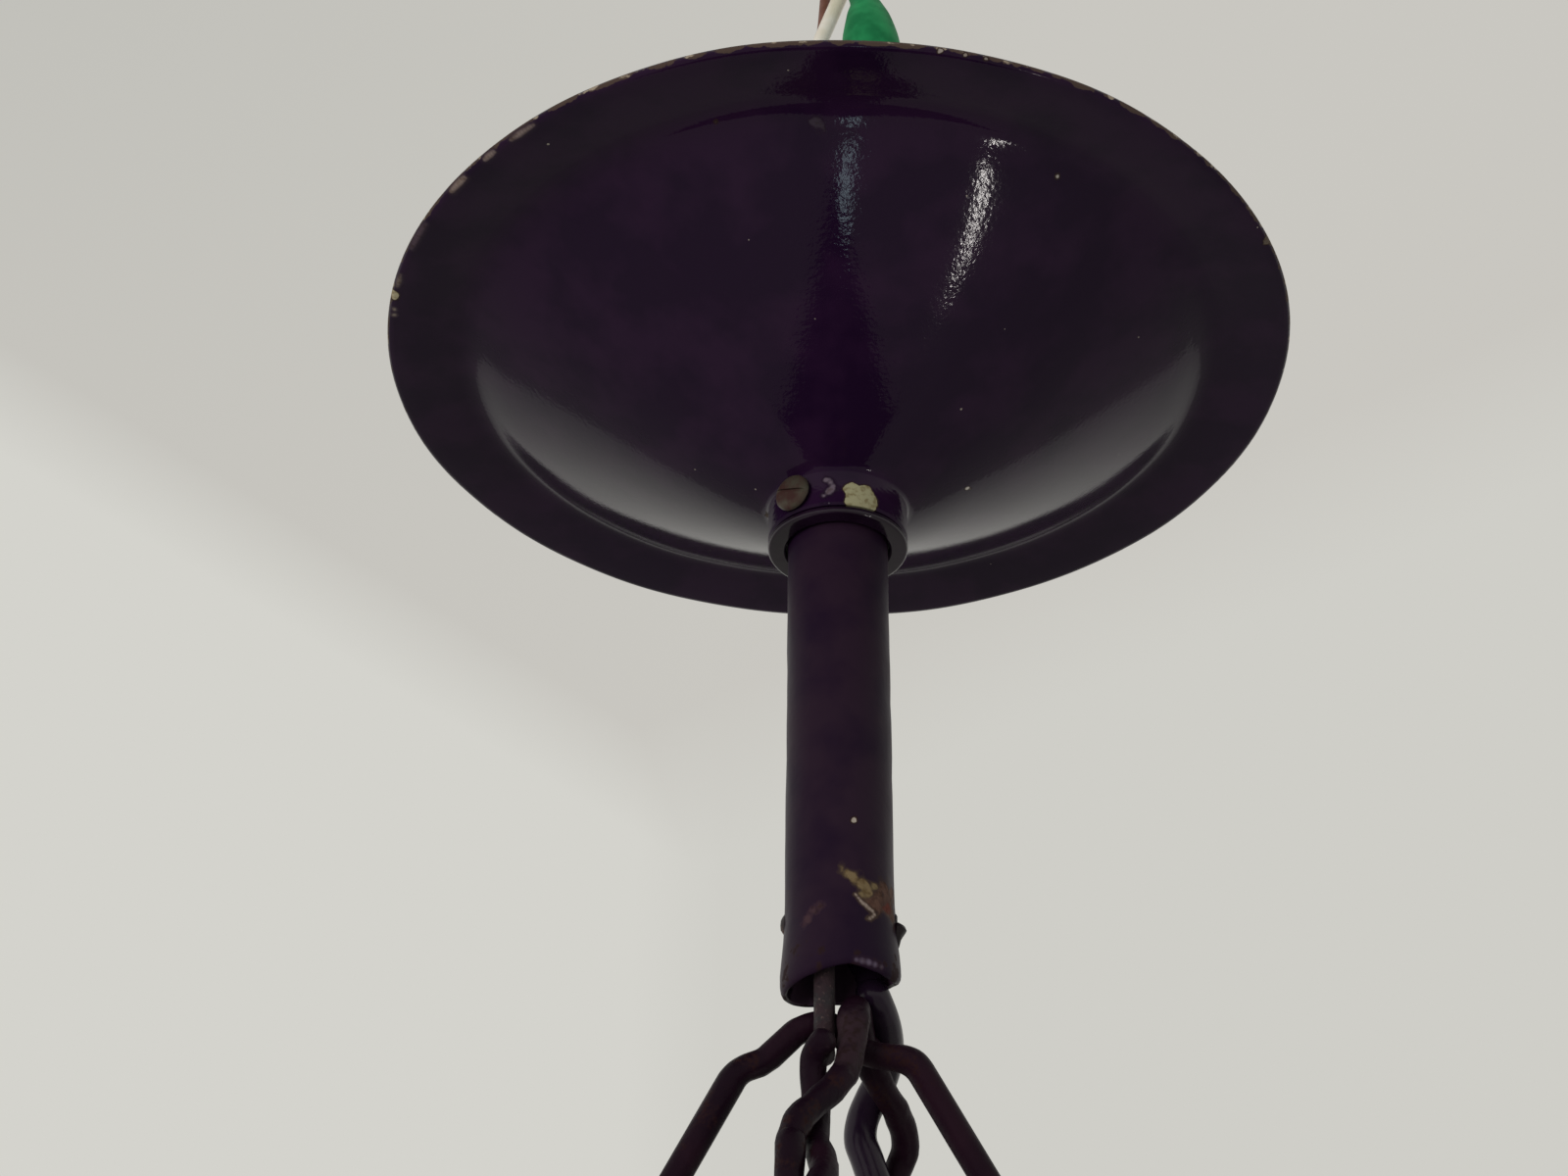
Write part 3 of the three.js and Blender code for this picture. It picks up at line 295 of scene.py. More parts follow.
@dataclass(frozen=True)
class WornAndLitBand:
    """A band of a painted piece: worn paint, and on the stem's bore and inner lip, painted light.
    """

    along: Along
    full_at: float
    clear_at: float
    colour: str
    share: float = 0.5

    def worn(self, look: Look, shift: float) -> Socket:
        """Gives the band's share: where the paint has worn off, and for the band of painted light,
        where that light is painted.

        Args:
            look: the look that the band is in.
            shift: sets its ragged edge apart from another band's.

        Returns:
            The worn share's socket.
        """
        x, y, level = look.node("SeparateXYZ", {0: look.place}).outputs
        if self.along is Along.RADIUS:
            level = look.vectors("LENGTH", look.node("CombineXYZ", {0: x, 1: y}).outputs[0])
        band = look.ramp(level, self.clear_at * MM, self.full_at * MM)
        ragged = look.maths("ADD", look.grain(2.2, 5, shift), look.maths("MULTIPLY", band, 0.3))
        whole = 1.0 - 0.35 * self.share
        torn = look.ramp(ragged, whole - 0.05, whole)
        return look.maths("MULTIPLY", torn, look.ramp(band, 0.0, 0.25))


@dataclass(frozen=True)
class BrushedEnamel:
    """Gloss enamel brushed by hand on sheet steel.

    The brush leaves a faint orange peel, so highlights break up into grains, and knocks show
    the pale undercoat with brown rust round it.
    """

    name: str
    colour: str
    second: str
    roughness: float
    gloss: float
    peel_mm: float
    peel_depth: float = 0.03
    rust: str = "#4a2a1c"
    rusting: float = 0.0
    specks: float = 0.0
    speck: str = "#a49c92"
    # chips in the paint, and a painted highlight laid the same way
    chips_and_highlights: tuple[ChipAndHighlight, ...] = ()
    # bands of worn paint, and bands of painted light
    worn_and_lit_bands: tuple[WornAndLitBand, ...] = ()

    def marked(self, look: Look, height: Socket) -> Socket:
        """Lays the chips, and the painted highlight, into the paint.

        Args:
            look: the enamel's look so far.
            height: its relief so far.

        Returns:
            The relief with the marks sunk in it.
        """
        ragged = look.maths("MULTIPLY", look.maths("SUBTRACT", look.grain(1.6, 3, 0.3), 0.5), 4.0)
        stains = look.clouds(0.8, 3, 0.5, 0.66, shift=0.6)
        for mark in self.chips_and_highlights:
            torn = look.maths("MULTIPLY", ragged, mark.torn)
            edge = look.maths("ADD", mark.distance(look), torn)
            # inside_mark: a chip's bare patch, and the painted highlight's own patch
            inside_mark = look.ramp(edge, mark.soft * 0.7, -mark.soft * 0.3)
            look.cover(look.ramp(edge, 0.12 + mark.soft * 1.5, 0.1), mark.edge, 0.6)
            look.cover(inside_mark, look.mix(stains, mark.colour, mark.shade()))
            height = look.maths("SUBTRACT", height, look.maths("MULTIPLY", inside_mark, 1.5))
        return height

    def speckled(self, look: Look) -> None:
        """Scatters pale specks of dust over the paint."""
        cells = look.node("TexVoronoi", {"Scale": 1 / (2.6 * MM), "Vector": look.place}).outputs
        picks = look.node("SeparateColor", {0: cells["Color"]}).outputs
        picked = look.maths("GREATER_THAN", picks[0], 1 - self.specks)
        size = look.maths("MULTIPLY", picks[1], 0.075)
        small = look.maths("LESS_THAN", cells["Distance"], size)
        look.cover(look.maths("MULTIPLY", picked, small), self.speck)

    def make(self) -> Material:
        """Builds the material.

        Returns:
            The finished material.
        """
        look = Look(bpy.data.materials.new(self.name))
        look.colour = look.mix(look.clouds(9, 3, 0.42, 0.6), self.colour, self.second)
        look.dull = look.clouds(14, 3, 0.35, 0.7, self.roughness, self.roughness * 1.4, 0.1)
        if self.rusting > 0:
            low = 0.72 - 0.3 * self.rusting
            blotches = look.clouds(5, 5, low, low + 0.06, shift=0.9)
            fine = look.clouds(0.5, 3, 0.4, 0.6, shift=0.5)
            look.cover(look.maths("MULTIPLY", blotches, fine), self.rust, 0.7)
        # worn paint, and on the stem's bore a band of painted light
        for number, worn_and_lit_band in enumerate(self.worn_and_lit_bands):
            look.cover(worn_and_lit_band.worn(look, 0.2 + number), worn_and_lit_band.colour, 0.65)
        height = look.grain(self.peel_mm)
        if self.chips_and_highlights:
            height = self.marked(look, height)
        if self.specks > 0:
            self.speckled(look)
        return look.finish(look.colour, look.dull, height, self.peel_depth,
                           {"Specular IOR Level": self.gloss})


@dataclass(frozen=True)
class BareMetal:
    """Bare metal gone dull: screw steel or lacquered brass that has aged.

    The tarnish sits in patches, so the shine comes and goes over a few millimetres.
    """

    name: str
    colour: str
    tarnish: str
    roughness: float
    patch_mm: float
    metallic: float = 1.0

    def make(self) -> Material:
        """Builds the material.

        Returns:
            The finished material.
        """
        look = Look(bpy.data.materials.new(self.name))
        patches = look.clouds(self.patch_mm, 4, 0.4, 0.62)
        drawn = look.node("Mapping", {"Scale": (1.0, 1.0, 0.12), "Vector": look.place}).outputs[0]
        return look.finish(look.mix(patches, self.colour, self.tarnish),
                           look.ramp(patches, 0, 1, self.roughness, self.roughness + 0.3),
                           look.grain(0.35, 3, 0.4, drawn), 0.02, {"Metallic": self.metallic})


@dataclass(frozen=True)
class MouldedPlastic:
    """Soft or hard plastic: dipped vinyl, extruded cable sheath, moulded phenolic or nylon.

    Dust and handling dull it in clouds, and the surface has a very fine grain.
    """

    name: str
    colour: str
    soiled: str
    roughness: float
    cloud_mm: float
    grain_mm: float = 0.4
    grain_depth: float = 0.01
    gloss: float = 0.5

    def make(self) -> Material:
        """Builds the material.

        Returns:
            The finished material.
        """
        look = Look(bpy.data.materials.new(self.name))
        clouds = look.clouds(self.cloud_mm, 4, 0.42, 0.64)
        return look.finish(look.mix(clouds, self.colour, self.soiled),
                           look.ramp(clouds, 0, 1, self.roughness, self.roughness + 0.15),
                           look.grain(self.grain_mm, 3), self.grain_depth,
                           {"IOR": 1.48, "Specular IOR Level": self.gloss})


@dataclass(frozen=True)
class RustedWire:
    """Iron wire whose paint has gone: brown, matt and pitted, with darker scale in streaks."""

    name: str
    colour: str = "#32242a"
    scale: str = "#1a1119"
    pale: str = "#5b4a49"

    def make(self) -> Material:
        """Builds the material.

        Returns:
            The finished material.
        """
        look = Look(bpy.data.materials.new(self.name))
        patches, pits = look.clouds(1.6, 5, 0.42, 0.6), look.grain(0.4, 4, 0.4)
        scaly = look.mix(patches, self.colour, self.scale)
        return look.finish(look.mix(look.ramp(pits, 0.6, 0.75), scaly, self.pale),
                           look.ramp(patches, 0, 1, 0.75, 0.45), pits, 0.12)


@dataclass(frozen=True)
class SheetGlass:
    """Drawn window glass: clear with a faint green cast and a slight ripple."""

    name: str
    colour: str = "#eef5ef"
    second: str = "#e6efe8"

    def make(self) -> Material:
        """Builds the material.

        Returns:
            The finished material.
        """
        look = Look(bpy.data.materials.new(self.name))
        return look.finish(look.mix(look.clouds(30, 2, 0.4, 0.6), self.colour, self.second),
                           look.clouds(18, 4, 0.5, 0.75, 0.02, 0.16, 0.2),
                           look.grain(25, 1, 0.7), 0.15, {"IOR": 1.52, "Transmission Weight": 1.0})


@dataclass(frozen=True)
class OpalGlass:
    """Blown opal bulb glass: white through its thickness, under a gloss skin."""

    name: str
    colour: str = "#eeeae0"
    second: str = "#e2dccd"

    def make(self) -> Material:
        """Builds the material.

        Returns:
            The finished material.
        """
        look = Look(bpy.data.materials.new(self.name))
        depth = {"Subsurface Weight": 0.3, "Subsurface Radius": (0.004, 0.004, 0.003),
                 "Subsurface Scale": 1.0}
        return look.finish(look.mix(look.clouds(20, 2, 0.4, 0.65), self.colour, self.second),
                           look.clouds(6, 3, 0.4, 0.7, 0.12, 0.24, 0.3), others=depth)


CANOPY_ENAMEL = BrushedEnamel(
    "enamel_brushed_on_canopy", "#200e29", "#2a1531", 0.055, 0.19, 0.6, 0.014, specks=0.16,
    worn_and_lit_bands=(WornAndLitBand(Along.RADIUS, 60.0, 59.6, "#51433d", 0.75),
           WornAndLitBand(Along.RADIUS, 60.05, 59.5, "#a89c8a", 0.3)),
    chips_and_highlights=(
        ChipAndHighlight(((1.9, -8.7, 25.5, 1.1), (3.3, -8.2, 25.6, 1.25), (4.2, -7.9, 26.4, 1.1),
              (2.2, -8.6, 26.7, 1.4), (3.6, -8.1, 27.2, 1.3)), "#a5a382", 0.3),
        ChipAndHighlight(((-1.45, -8.83, 23.9, 0.26), (-0.85, -8.9, 24.35, 0.38), (-0.6, -8.93, 24.9, 0.42),
              (-0.75, -8.91, 25.4, 0.38), (-1.1, -8.88, 25.8, 0.32), (-1.7, -8.78, 26.3, 0.2)),
             "#6a5f6c", 0.35, "#1c0b21", 0.25),
        # a thin pale dash along the neck's lower rolled edge
        ChipAndHighlight(((-2.1, -8.7, 27.4, 0.08), (-1.6, -8.8, 27.45, 0.12), (-1.1, -8.85, 27.5, 0.06)),
             "#6a6070", 0.2, "#1c0a25"),
        ChipAndHighlight(((16.9, 0.4, 18.8, 0.14), (17.1, 0.8, 18.6, 0.2), (17.4, 1.2, 18.4, 0.12)),
             "#d8d4cc", 0.3),
        ChipAndHighlight(((-56.8, -18.3, 0.95, 0.6), (-56.9, -17.8, 0.95, 0.5)), "#b9b193", 0.15),
        ChipAndHighlight(((-57.2, -15.4, 0.95, 0.25), (-57.5, -14.4, 0.95, 0.2)), "#827770", 0.25,
             "#43363f", 0.2),
        rim_smear(-126.2, -129.8, "#8b7c78"), rim_smear(-132.6, -134.4, "#9a8a84"),
        rim_smear(-138.3, -141.3, "#ad9c93", "#3a2c36", 0.45),
        rim_smear(-148.0, -153.0, "#5c4d57"), rim_smear(-158.2, -160.5, "#7d706c"),
        ChipAndHighlight(((11.8, -58.8, 0.9, 0.2), (14.6, -58.2, 0.9, 0.15), (17.0, -57.6, 0.9, 0.2)),
             "#a39b94", 0.3),
        ChipAndHighlight(((26.5, -39.1, 1.4, 0.22),), "#b4b0aa", 0.2),
        ChipAndHighlight(((-14.0, -47.5, 0.3, 0.25),), "#8d8890", 0.2),
        ChipAndHighlight(((53.4, -27.4, 0.9, 0.5),), "#6a5f54"), ChipAndHighlight(((-9.5, 1.2, 22.9, 0.5),), "#4f4038"),
        ChipAndHighlight(((-2.6, -48.0, 1.0, 0.5), (-2.0, -47.6, 1.0, 0.4)), "#3c3340", 0.8, "#221126", 0.4),
    ),
)
COLLAR_ENAMEL = BrushedEnamel("enamel_thick_on_collar", "#180a1b", "#221226", 0.08, 0.5, 1.6)
STEM_ENAMEL = BrushedEnamel(
    "enamel_brushed_on_stem", "#201126", "#2a1b2b", 0.34, 0.1, 1.4,
    worn_and_lit_bands=(WornAndLitBand(Along.HEIGHT, MOUTH_Z, MOUTH_Z + 9, "#2a1b1f", 0.3),
           # painted light: the bore and the inner edge of the mouth are painted a pale grey-violet,
           # lighter than the shade inside the tube
           WornAndLitBand(Along.RADIUS, 5.9, 6.15, "#5a4458", 1.0)),
    chips_and_highlights=(
        ChipAndHighlight(((-2.4, -5.9, 80.9, 0.3), (-2.9, -5.7, 81.4, 0.5), (-3.5, -5.3, 82.1, 0.55),
              (-3.9, -5.0, 82.8, 0.35)), "#46333a", 0.6, "#28192b", 0.6),
        ChipAndHighlight(((5.2, -3.7, 77.6, 0.6), (5.9, -2.4, 77.7, 0.8), (4.5, -4.6, 79.0, 0.7),
              (5.5, -3.4, 79.3, 1.1), (4.2, -4.9, 80.1, 0.6), (5.8, -2.8, 80.3, 0.8),
              (3.1, -5.6, 79.6, 0.45), (3.7, -5.2, 80.4, 0.5)), "#644b41", 0.8, "#35231f", 0.6),
        ChipAndHighlight(((5.4, -3.4, 79.8, 0.45), (5.2, -3.7, 80.3, 0.35)), "#6a342a", 0.5, "#4f3a34", 0.5),
        ChipAndHighlight(((0.3, -6.39, 76.3, 0.1), (0.8, -6.35, 76.7, 0.22), (1.2, -6.28, 77.05, 0.3),
              (1.7, -6.2, 77.4, 0.4), (2.6, -5.8, 78.0, 0.7), (3.1, -5.6, 78.7, 0.5),
              (3.8, -5.2, 78.1, 0.3), (2.4, -5.95, 79.4, 0.25)), "#7d6d50", 0.55, "#473a31", 0.35),
        ChipAndHighlight(((1.8, -6.14, 79.5, 0.08), (2.05, -6.05, 79.9, 0.12), (2.3, -5.95, 80.2, 0.14),
              (2.55, -5.87, 80.5, 0.16), (2.95, -5.7, 80.7, 0.16), (3.3, -5.5, 80.95, 0.18),
              (3.6, -5.3, 81.15, 0.18), (3.8, -5.15, 81.5, 0.18), (3.6, -5.3, 81.9, 0.16),
              (3.25, -5.5, 82.15, 0.14), (2.9, -5.7, 82.3, 0.08)), "#9c8e85", 0.25, "#463830",
             0.15),
        ChipAndHighlight(((1.7, -6.1, 70.1, 0.25),), "#b7aea4", 0.3),
        # painted highlight: a pale arc along the front of the mouth's rounded lip, where it catches
        # the light, with a painted darker rim
        ChipAndHighlight(((1.8, -6.56, 87.5, 0.08), (2.5, -6.33, 87.55, 0.2), (3.2, -6.0, 87.6, 0.26),
              (3.9, -5.57, 87.65, 0.2), (4.6, -5.0, 87.7, 0.1)), "#62576a", 0.08, "#2b1b2c", 0.35),
    ),
)
LANTERN_ENAMEL = BrushedEnamel("enamel_on_lantern_sheet", "#150c17", "#20141f", 0.26, 0.35, 1.2,
                               specks=0.012, rusting=0.3)
BLACKED_WIRE = BrushedEnamel(
    "black_paint_on_wire", "#190a17", "#24121e", 0.38, 0.1, 0.8, 0.1, "#2b181a", 0.4,
    chips_and_highlights=(ChipAndHighlight(((1.2, -5.2, 96.0, 2.6), (0.9, -6.4, 99.0, 1.8)), "#34262d", 1.2, "#20131d", 1.6),))
BLACKED_STEEL = BrushedEnamel("black_paint_on_steel", "#181016", "#261a1e", 0.4, 0.3, 1.0,
                              rust="#4b3125", rusting=0.45)
RUST = RustedWire("rusted_iron_wire")
SCREW_STEEL = BareMetal("tarnished_screw_steel", "#514e42", "#482f2c", 0.4, 2.2, 0.35)
AGED_BRASS = BareMetal("aged_lacquered_brass", "#8a6b3c", "#4b3a22", 0.32, 7.0)
DIPPED_VINYL = MouldedPlastic("green_vinyl_dip", "#2a975d", "#1c7849", 0.5, 5.0, 0.5, 0.012, 0.15)
CREAM_PVC = MouldedPlastic("cream_pvc_sheath", "#fffaf0", "#f0e8d4", 0.4, 5.0)
BROWN_PVC = MouldedPlastic("brown_pvc_sheath", "#7d5244", "#5f3a2c", 0.4, 5.0)
BLACK_PVC = MouldedPlastic("black_pvc_sheath", "#221627", "#2c2030", 0.2, 5.0, 0.8, 0.02, 0.35)
NYLON = MouldedPlastic("white_nylon_block", "#dcd7ca", "#c6bda7", 0.45, 9.0)
PHENOLIC = MouldedPlastic("black_phenolic_moulding", "#141213", "#211d1d", 0.28, 12.0)
CLEAR_GLASS = SheetGlass("drawn_window_glass")
OPAL = OpalGlass("opal_bulb_glass")

Finish = Union[BrushedEnamel, BareMetal, MouldedPlastic, RustedWire, SheetGlass, OpalGlass]


# ---------------------------------------------------------------- making pieces


def lay_tools_down() -> None:
    """Leaves edit mode and deselects everything, so that the next operator acts on one piece."""
    if bpy.context.object is not None and bpy.context.object.mode != "OBJECT":
        bpy.ops.object.mode_set(mode="OBJECT")
    bpy.ops.object.select_all(action="DESELECT")


def take(piece: Piece) -> None:
    """Selects one piece alone and makes it active."""
    lay_tools_down()
    piece.select_set(True)
    bpy.context.view_layer.objects.active = piece


def settle(piece: Piece, name: str, smooth_deg: float = 35.0) -> Piece:
    """Puts a piece's place into its mesh, smooths its shading and names it.

    Args:
        piece: the piece, in object mode.
        name: the piece's name.
        smooth_deg: edges sharper than this stay crisp.

    Returns:
        The piece.
    """
    take(piece)
    bpy.ops.object.transform_apply(location=True, rotation=True, scale=True)
    bpy.ops.object.shade_smooth_by_angle(angle=math.radians(smooth_deg))
    piece.name = piece.data.name = name
    return piece


def hang(piece: Piece, body: Body, slot: str, finish: Finish, *nodes: str) -> None:
    """Dresses a piece, lets it ride on its body and puts it in the place of CAD nodes.

    Args:
        piece: the piece.
        body: the body that it moves with.
        slot: the record's material slot; not used.
        finish: its finish; pieces of one finish share its material.
        nodes: the CAD nodes that it stands for.
    """
    piece.data.materials.clear()
    piece.data.materials.append(bpy.data.materials.get(finish.name) or finish.make())
    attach(piece, body.value)
    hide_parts(*nodes)
    log.info("%s: %d faces", piece.name, len(piece.data.polygons))


def turned(name: str, profile: Sequence[Ring], steps: int, hollow: bool = False,
           base: float = 0.0) -> Piece:
    """Turns a profile round the Z axis, ring by ring.

    Args:
        name: the piece's name.
        profile: radius and height of each ring, in mm.
        steps: how many edges a ring has.
        hollow: whether the last ring joins the first.
        base: the height that the profile's heights start from.

    Returns:
        The turned piece.
    """
    lay_tools_down()
    rings = [(max(radius, 0.004), height + base) for radius, height in profile]
    radius, height = rings[0]
    bpy.ops.mesh.primitive_circle_add(vertices=steps, radius=radius * MM,
                                      location=(0, 0, height * MM))
    piece = bpy.context.object
    bpy.ops.object.transform_apply(location=True, rotation=False, scale=False)
    bpy.ops.object.mode_set(mode="EDIT")
    bpy.ops.mesh.select_all(action="SELECT")
    for (r0, z0), (r1, z1) in zip(rings, rings[1:]):
        bpy.ops.mesh.extrude_region_move(TRANSFORM_OT_translate={"value": (0, 0, (z1 - z0) * MM)})
        grow = r1 / r0
        bpy.ops.transform.resize(value=(grow, grow, 1), center_override=(0, 0, z1 * MM))
    if hollow:
        bpy.ops.mesh.select_all(action="DESELECT")
        bpy.ops.mesh.select_non_manifold(extend=False, use_wire=False, use_boundary=True,
                                         use_multi_face=False, use_non_contiguous=False,
                                         use_verts=False)
        bpy.ops.mesh.bridge_edge_loops()
    bpy.ops.mesh.select_all(action="SELECT")
    bpy.ops.mesh.remove_doubles(threshold=0.012 * MM)
    bpy.ops.mesh.normals_make_consistent(inside=False)
    bpy.ops.object.mode_set(mode="OBJECT")
    return settle(piece, name)


def ribbed(z: float, stop: float, pitch: float, rib: Sequence[Ring]) -> list[Ring]:
    """Repeats a rib's profile, for a turned piece's thread or grip.

    Args:
        z: the height of the first rib.
        stop: the height at which the ribs stop.
        pitch: the step from rib to rib, negative downwards.
        rib: radius and height of each of its rings, above the rib's own height.

    Returns:
        The rings.
    """
    rings = []
    while (stop - z) * pitch > 0:
        rings += [(radius, z + rise) for radius, rise in rib]
        z += pitch
    return rings


def eased(points: Sequence[Sequence[float]], steps: int) -> list[Vector]:
    """Draws one smooth line through every point.

    Args:
        points: the points, in mm.
        steps: steps between two points.

    Returns:
        The line's points.
    """
    known = [Vector(p) for p in points]
    known = [known[0] * 2 - known[1], *known, known[-1] * 2 - known[-2]]
    line = []
    for a, b, c, d in zip(known, known[1:], known[2:], known[3:]):
        for i in range(steps):
            t = i / steps
            line.append(0.5 * (2 * b + (c - a) * t + (2 * a - 5 * b + 4 * c - d) * t ** 2
                               + (3 * b - a - 3 * c + d) * t ** 3))
    line.append(known[-2])
    return line


def bent(corners: Sequence[Vector], radius: float, steps: int) -> list[Vector]:
    """Rounds the corners of a route, as wire bends over a former.

    Args:
        corners: the route's corners, in mm.
        radius: the bend's radius.
        steps: steps in each bend.

    Returns:
        The route's points.
    """
    route = [corners[0].copy()]
    for before, here, after in zip(corners, corners[1:], corners[2:]):
        into, out = here - before, after - here
        reach = min(radius * math.tan(into.angle(out) / 2), into.length * 0.48, out.length * 0.48)
        start, end = here - into.normalized() * reach, here + out.normalized() * reach
        for i in range(steps + 1):
            t = i / steps
            route.append(start * (1 - t) ** 2 + here * (2 * t * (1 - t)) + end * t ** 2)
    route.append(corners[-1].copy())
    return route


def arc(centre: Point, radius: float, first: float, last: float, steps: int,
        azimuth: float = TO_BACK) -> list[Vector]:
    """Draws an arc in an upright plane.

    Args:
        centre: the arc's centre, in mm.
        radius: its radius.
        first: the angle where it starts, in radians above level.
        last: the angle where it ends.
        steps: steps along it.
        azimuth: the level direction that the plane lies in, in radians from X towards Y.

    Returns:
        The arc's points.
    """
    out = Vector((math.cos(azimuth), math.sin(azimuth), 0)) * radius
    angles = [first + (last - first) * i / steps for i in range(steps + 1)]
    return [Vector(centre) + out * math.cos(angle) + Vector((0, 0, radius * math.sin(angle)))
            for angle in angles]


def thinned_ends(points: Sequence[Vector], radius: float) -> tuple[list[Vector], list[float]]:
    """Rounds off both ends of a wire.

    Args:
        points: the wire's centreline, in mm.
        radius: the wire's radius.

    Returns:
        The centreline with points added at its ends, and the radius at each point.
    """
    shares = (0.45, 0.8, 0.98)
    tips = []
    for tip, inner in ((points[0], points[1]), (points[-1], points[-2])):
        way = (tip - inner).normalized() * radius
        tips.append([tip + way * share * 0.8 for share in shares])
    thin = [radius * math.sqrt(1 - share ** 2) for share in shares]
    line = [*tips[0][::-1], *points, *tips[1]]
    return line, [*thin[::-1], *[radius] * len(points), *thin]


def wire(name: str, line: Sequence[Vector], radius: Union[float, Sequence[float]],
         around: int = 5, rounded: bool = True) -> Piece:
    """Sweeps a round wire along a route.

    Args:
        name: the piece's name.
        line: the centreline, in mm.
        radius: one radius in mm, or one for each point.
        around: the section's fineness; the section has 4 + 2 times this many sides.
        rounded: whether the ends of a wire of one radius are rounded off.

    Returns:
        The wire as a mesh.
    """
    if rounded:
        line, sizes = thinned_ends(line, radius)
    else:
        sizes = radius if isinstance(radius, (list, tuple)) else [radius] * len(line)
    lay_tools_down()
    bpy.ops.curve.primitive_nurbs_path_add(location=(0, 0, 0))
    piece = bpy.context.object
    curve = piece.data
    curve.splines.clear()
    spline = curve.splines.new("POLY")
    spline.points.add(len(line) - 1)
    for target, point, size in zip(spline.points, line, sizes):
        target.co = (*(point * MM), 1.0)
        target.radius = size
    curve.bevel_depth = MM
    curve.bevel_resolution = around
    curve.use_fill_caps = True
    curve.twist_mode = "MINIMUM"
    take(piece)
    bpy.ops.object.convert(target="MESH")
    return settle(bpy.context.object, name, 50.0)


def uneven(piece: Piece, depth: float, size: float, seed: float) -> Piece:
    """Moves a piece's surface in and out a little, as handwork, dents and paint runs do.

    Args:
        piece: the piece.
        depth: the largest movement, in mm.
        size: the size of a lump, in mm.
        seed: where the pattern starts.

    Returns:
        The piece.
    """
    vertices = piece.data.vertices
    normals = [v.normal.copy() for v in vertices]
    start = Vector((seed, seed * 1.7, seed * 0.6))
    for vertex, normal in zip(vertices, normals):
        swell = noise.noise(vertex.co / (size * MM) + start)
        vertex.co += normal * (swell * depth * MM)
    piece.data.update()
    return piece


def copied(node: str, name: str, edge_mm: float, smooth_deg: float = 30.0) -> Piece:
    """Copies a CAD node's solid and rolls its edges over, as sheet and forged work has them.

    Args:
        node: the CAD node.
        name: the copy's name.
        edge_mm: the width of the rolled edge.
        smooth_deg: edges sharper than this stay crisp.

    Returns:
        The copy.
    """
    piece = bpy.data.objects.new(name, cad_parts[node].data.copy())
    bpy.context.scene.collection.objects.link(piece)
    take(piece)
    bpy.ops.object.mode_set(mode="EDIT")
    bpy.ops.mesh.select_all(action="SELECT")
    bpy.ops.mesh.remove_doubles(threshold=0.01 * MM)
    bpy.ops.mesh.dissolve_limited(angle_limit=math.radians(1.0))
    bpy.ops.object.mode_set(mode="OBJECT")
    bevel = piece.modifiers.new("edge", "BEVEL")
    bevel.width = edge_mm * MM
    bevel.segments = 2
    bevel.limit_method = "ANGLE"
    bevel.angle_limit = math.radians(28)
    bevel.use_clamp_overlap = True
    bpy.ops.object.modifier_apply(modifier=bevel.name)
    return settle(piece, name, smooth_deg)


def joined(name: str, pieces: Sequence[Piece]) -> Piece:
    """Joins several bits into one piece.

    Args:
        name: the piece's name.
        pieces: the bits.

    Returns:
        The joined piece.
    """
    lay_tools_down()
    for piece in pieces:
        piece.select_set(True)
    bpy.context.view_layer.objects.active = pieces[0]
    bpy.ops.object.join()
    return settle(bpy.context.object, name)


def placed(piece: Piece, at: Point, *turns: tuple[float, str]) -> Piece:
    """Turns and shifts a piece's mesh.

    Args:
        piece: the piece.
        at: where its origin goes, in mm.
        turns: degrees and axis of each turn, the last one made first.

    Returns:
        The piece.
    """
    matrix = Matrix.Translation(Vector(at) * MM)
    for degrees, axis in turns:
        matrix = matrix @ Matrix.Rotation(math.radians(degrees), 4, axis)
    piece.data.transform(matrix)
    piece.data.update()
    return piece


# ---------------------------------------------------------------- sub-assemblies


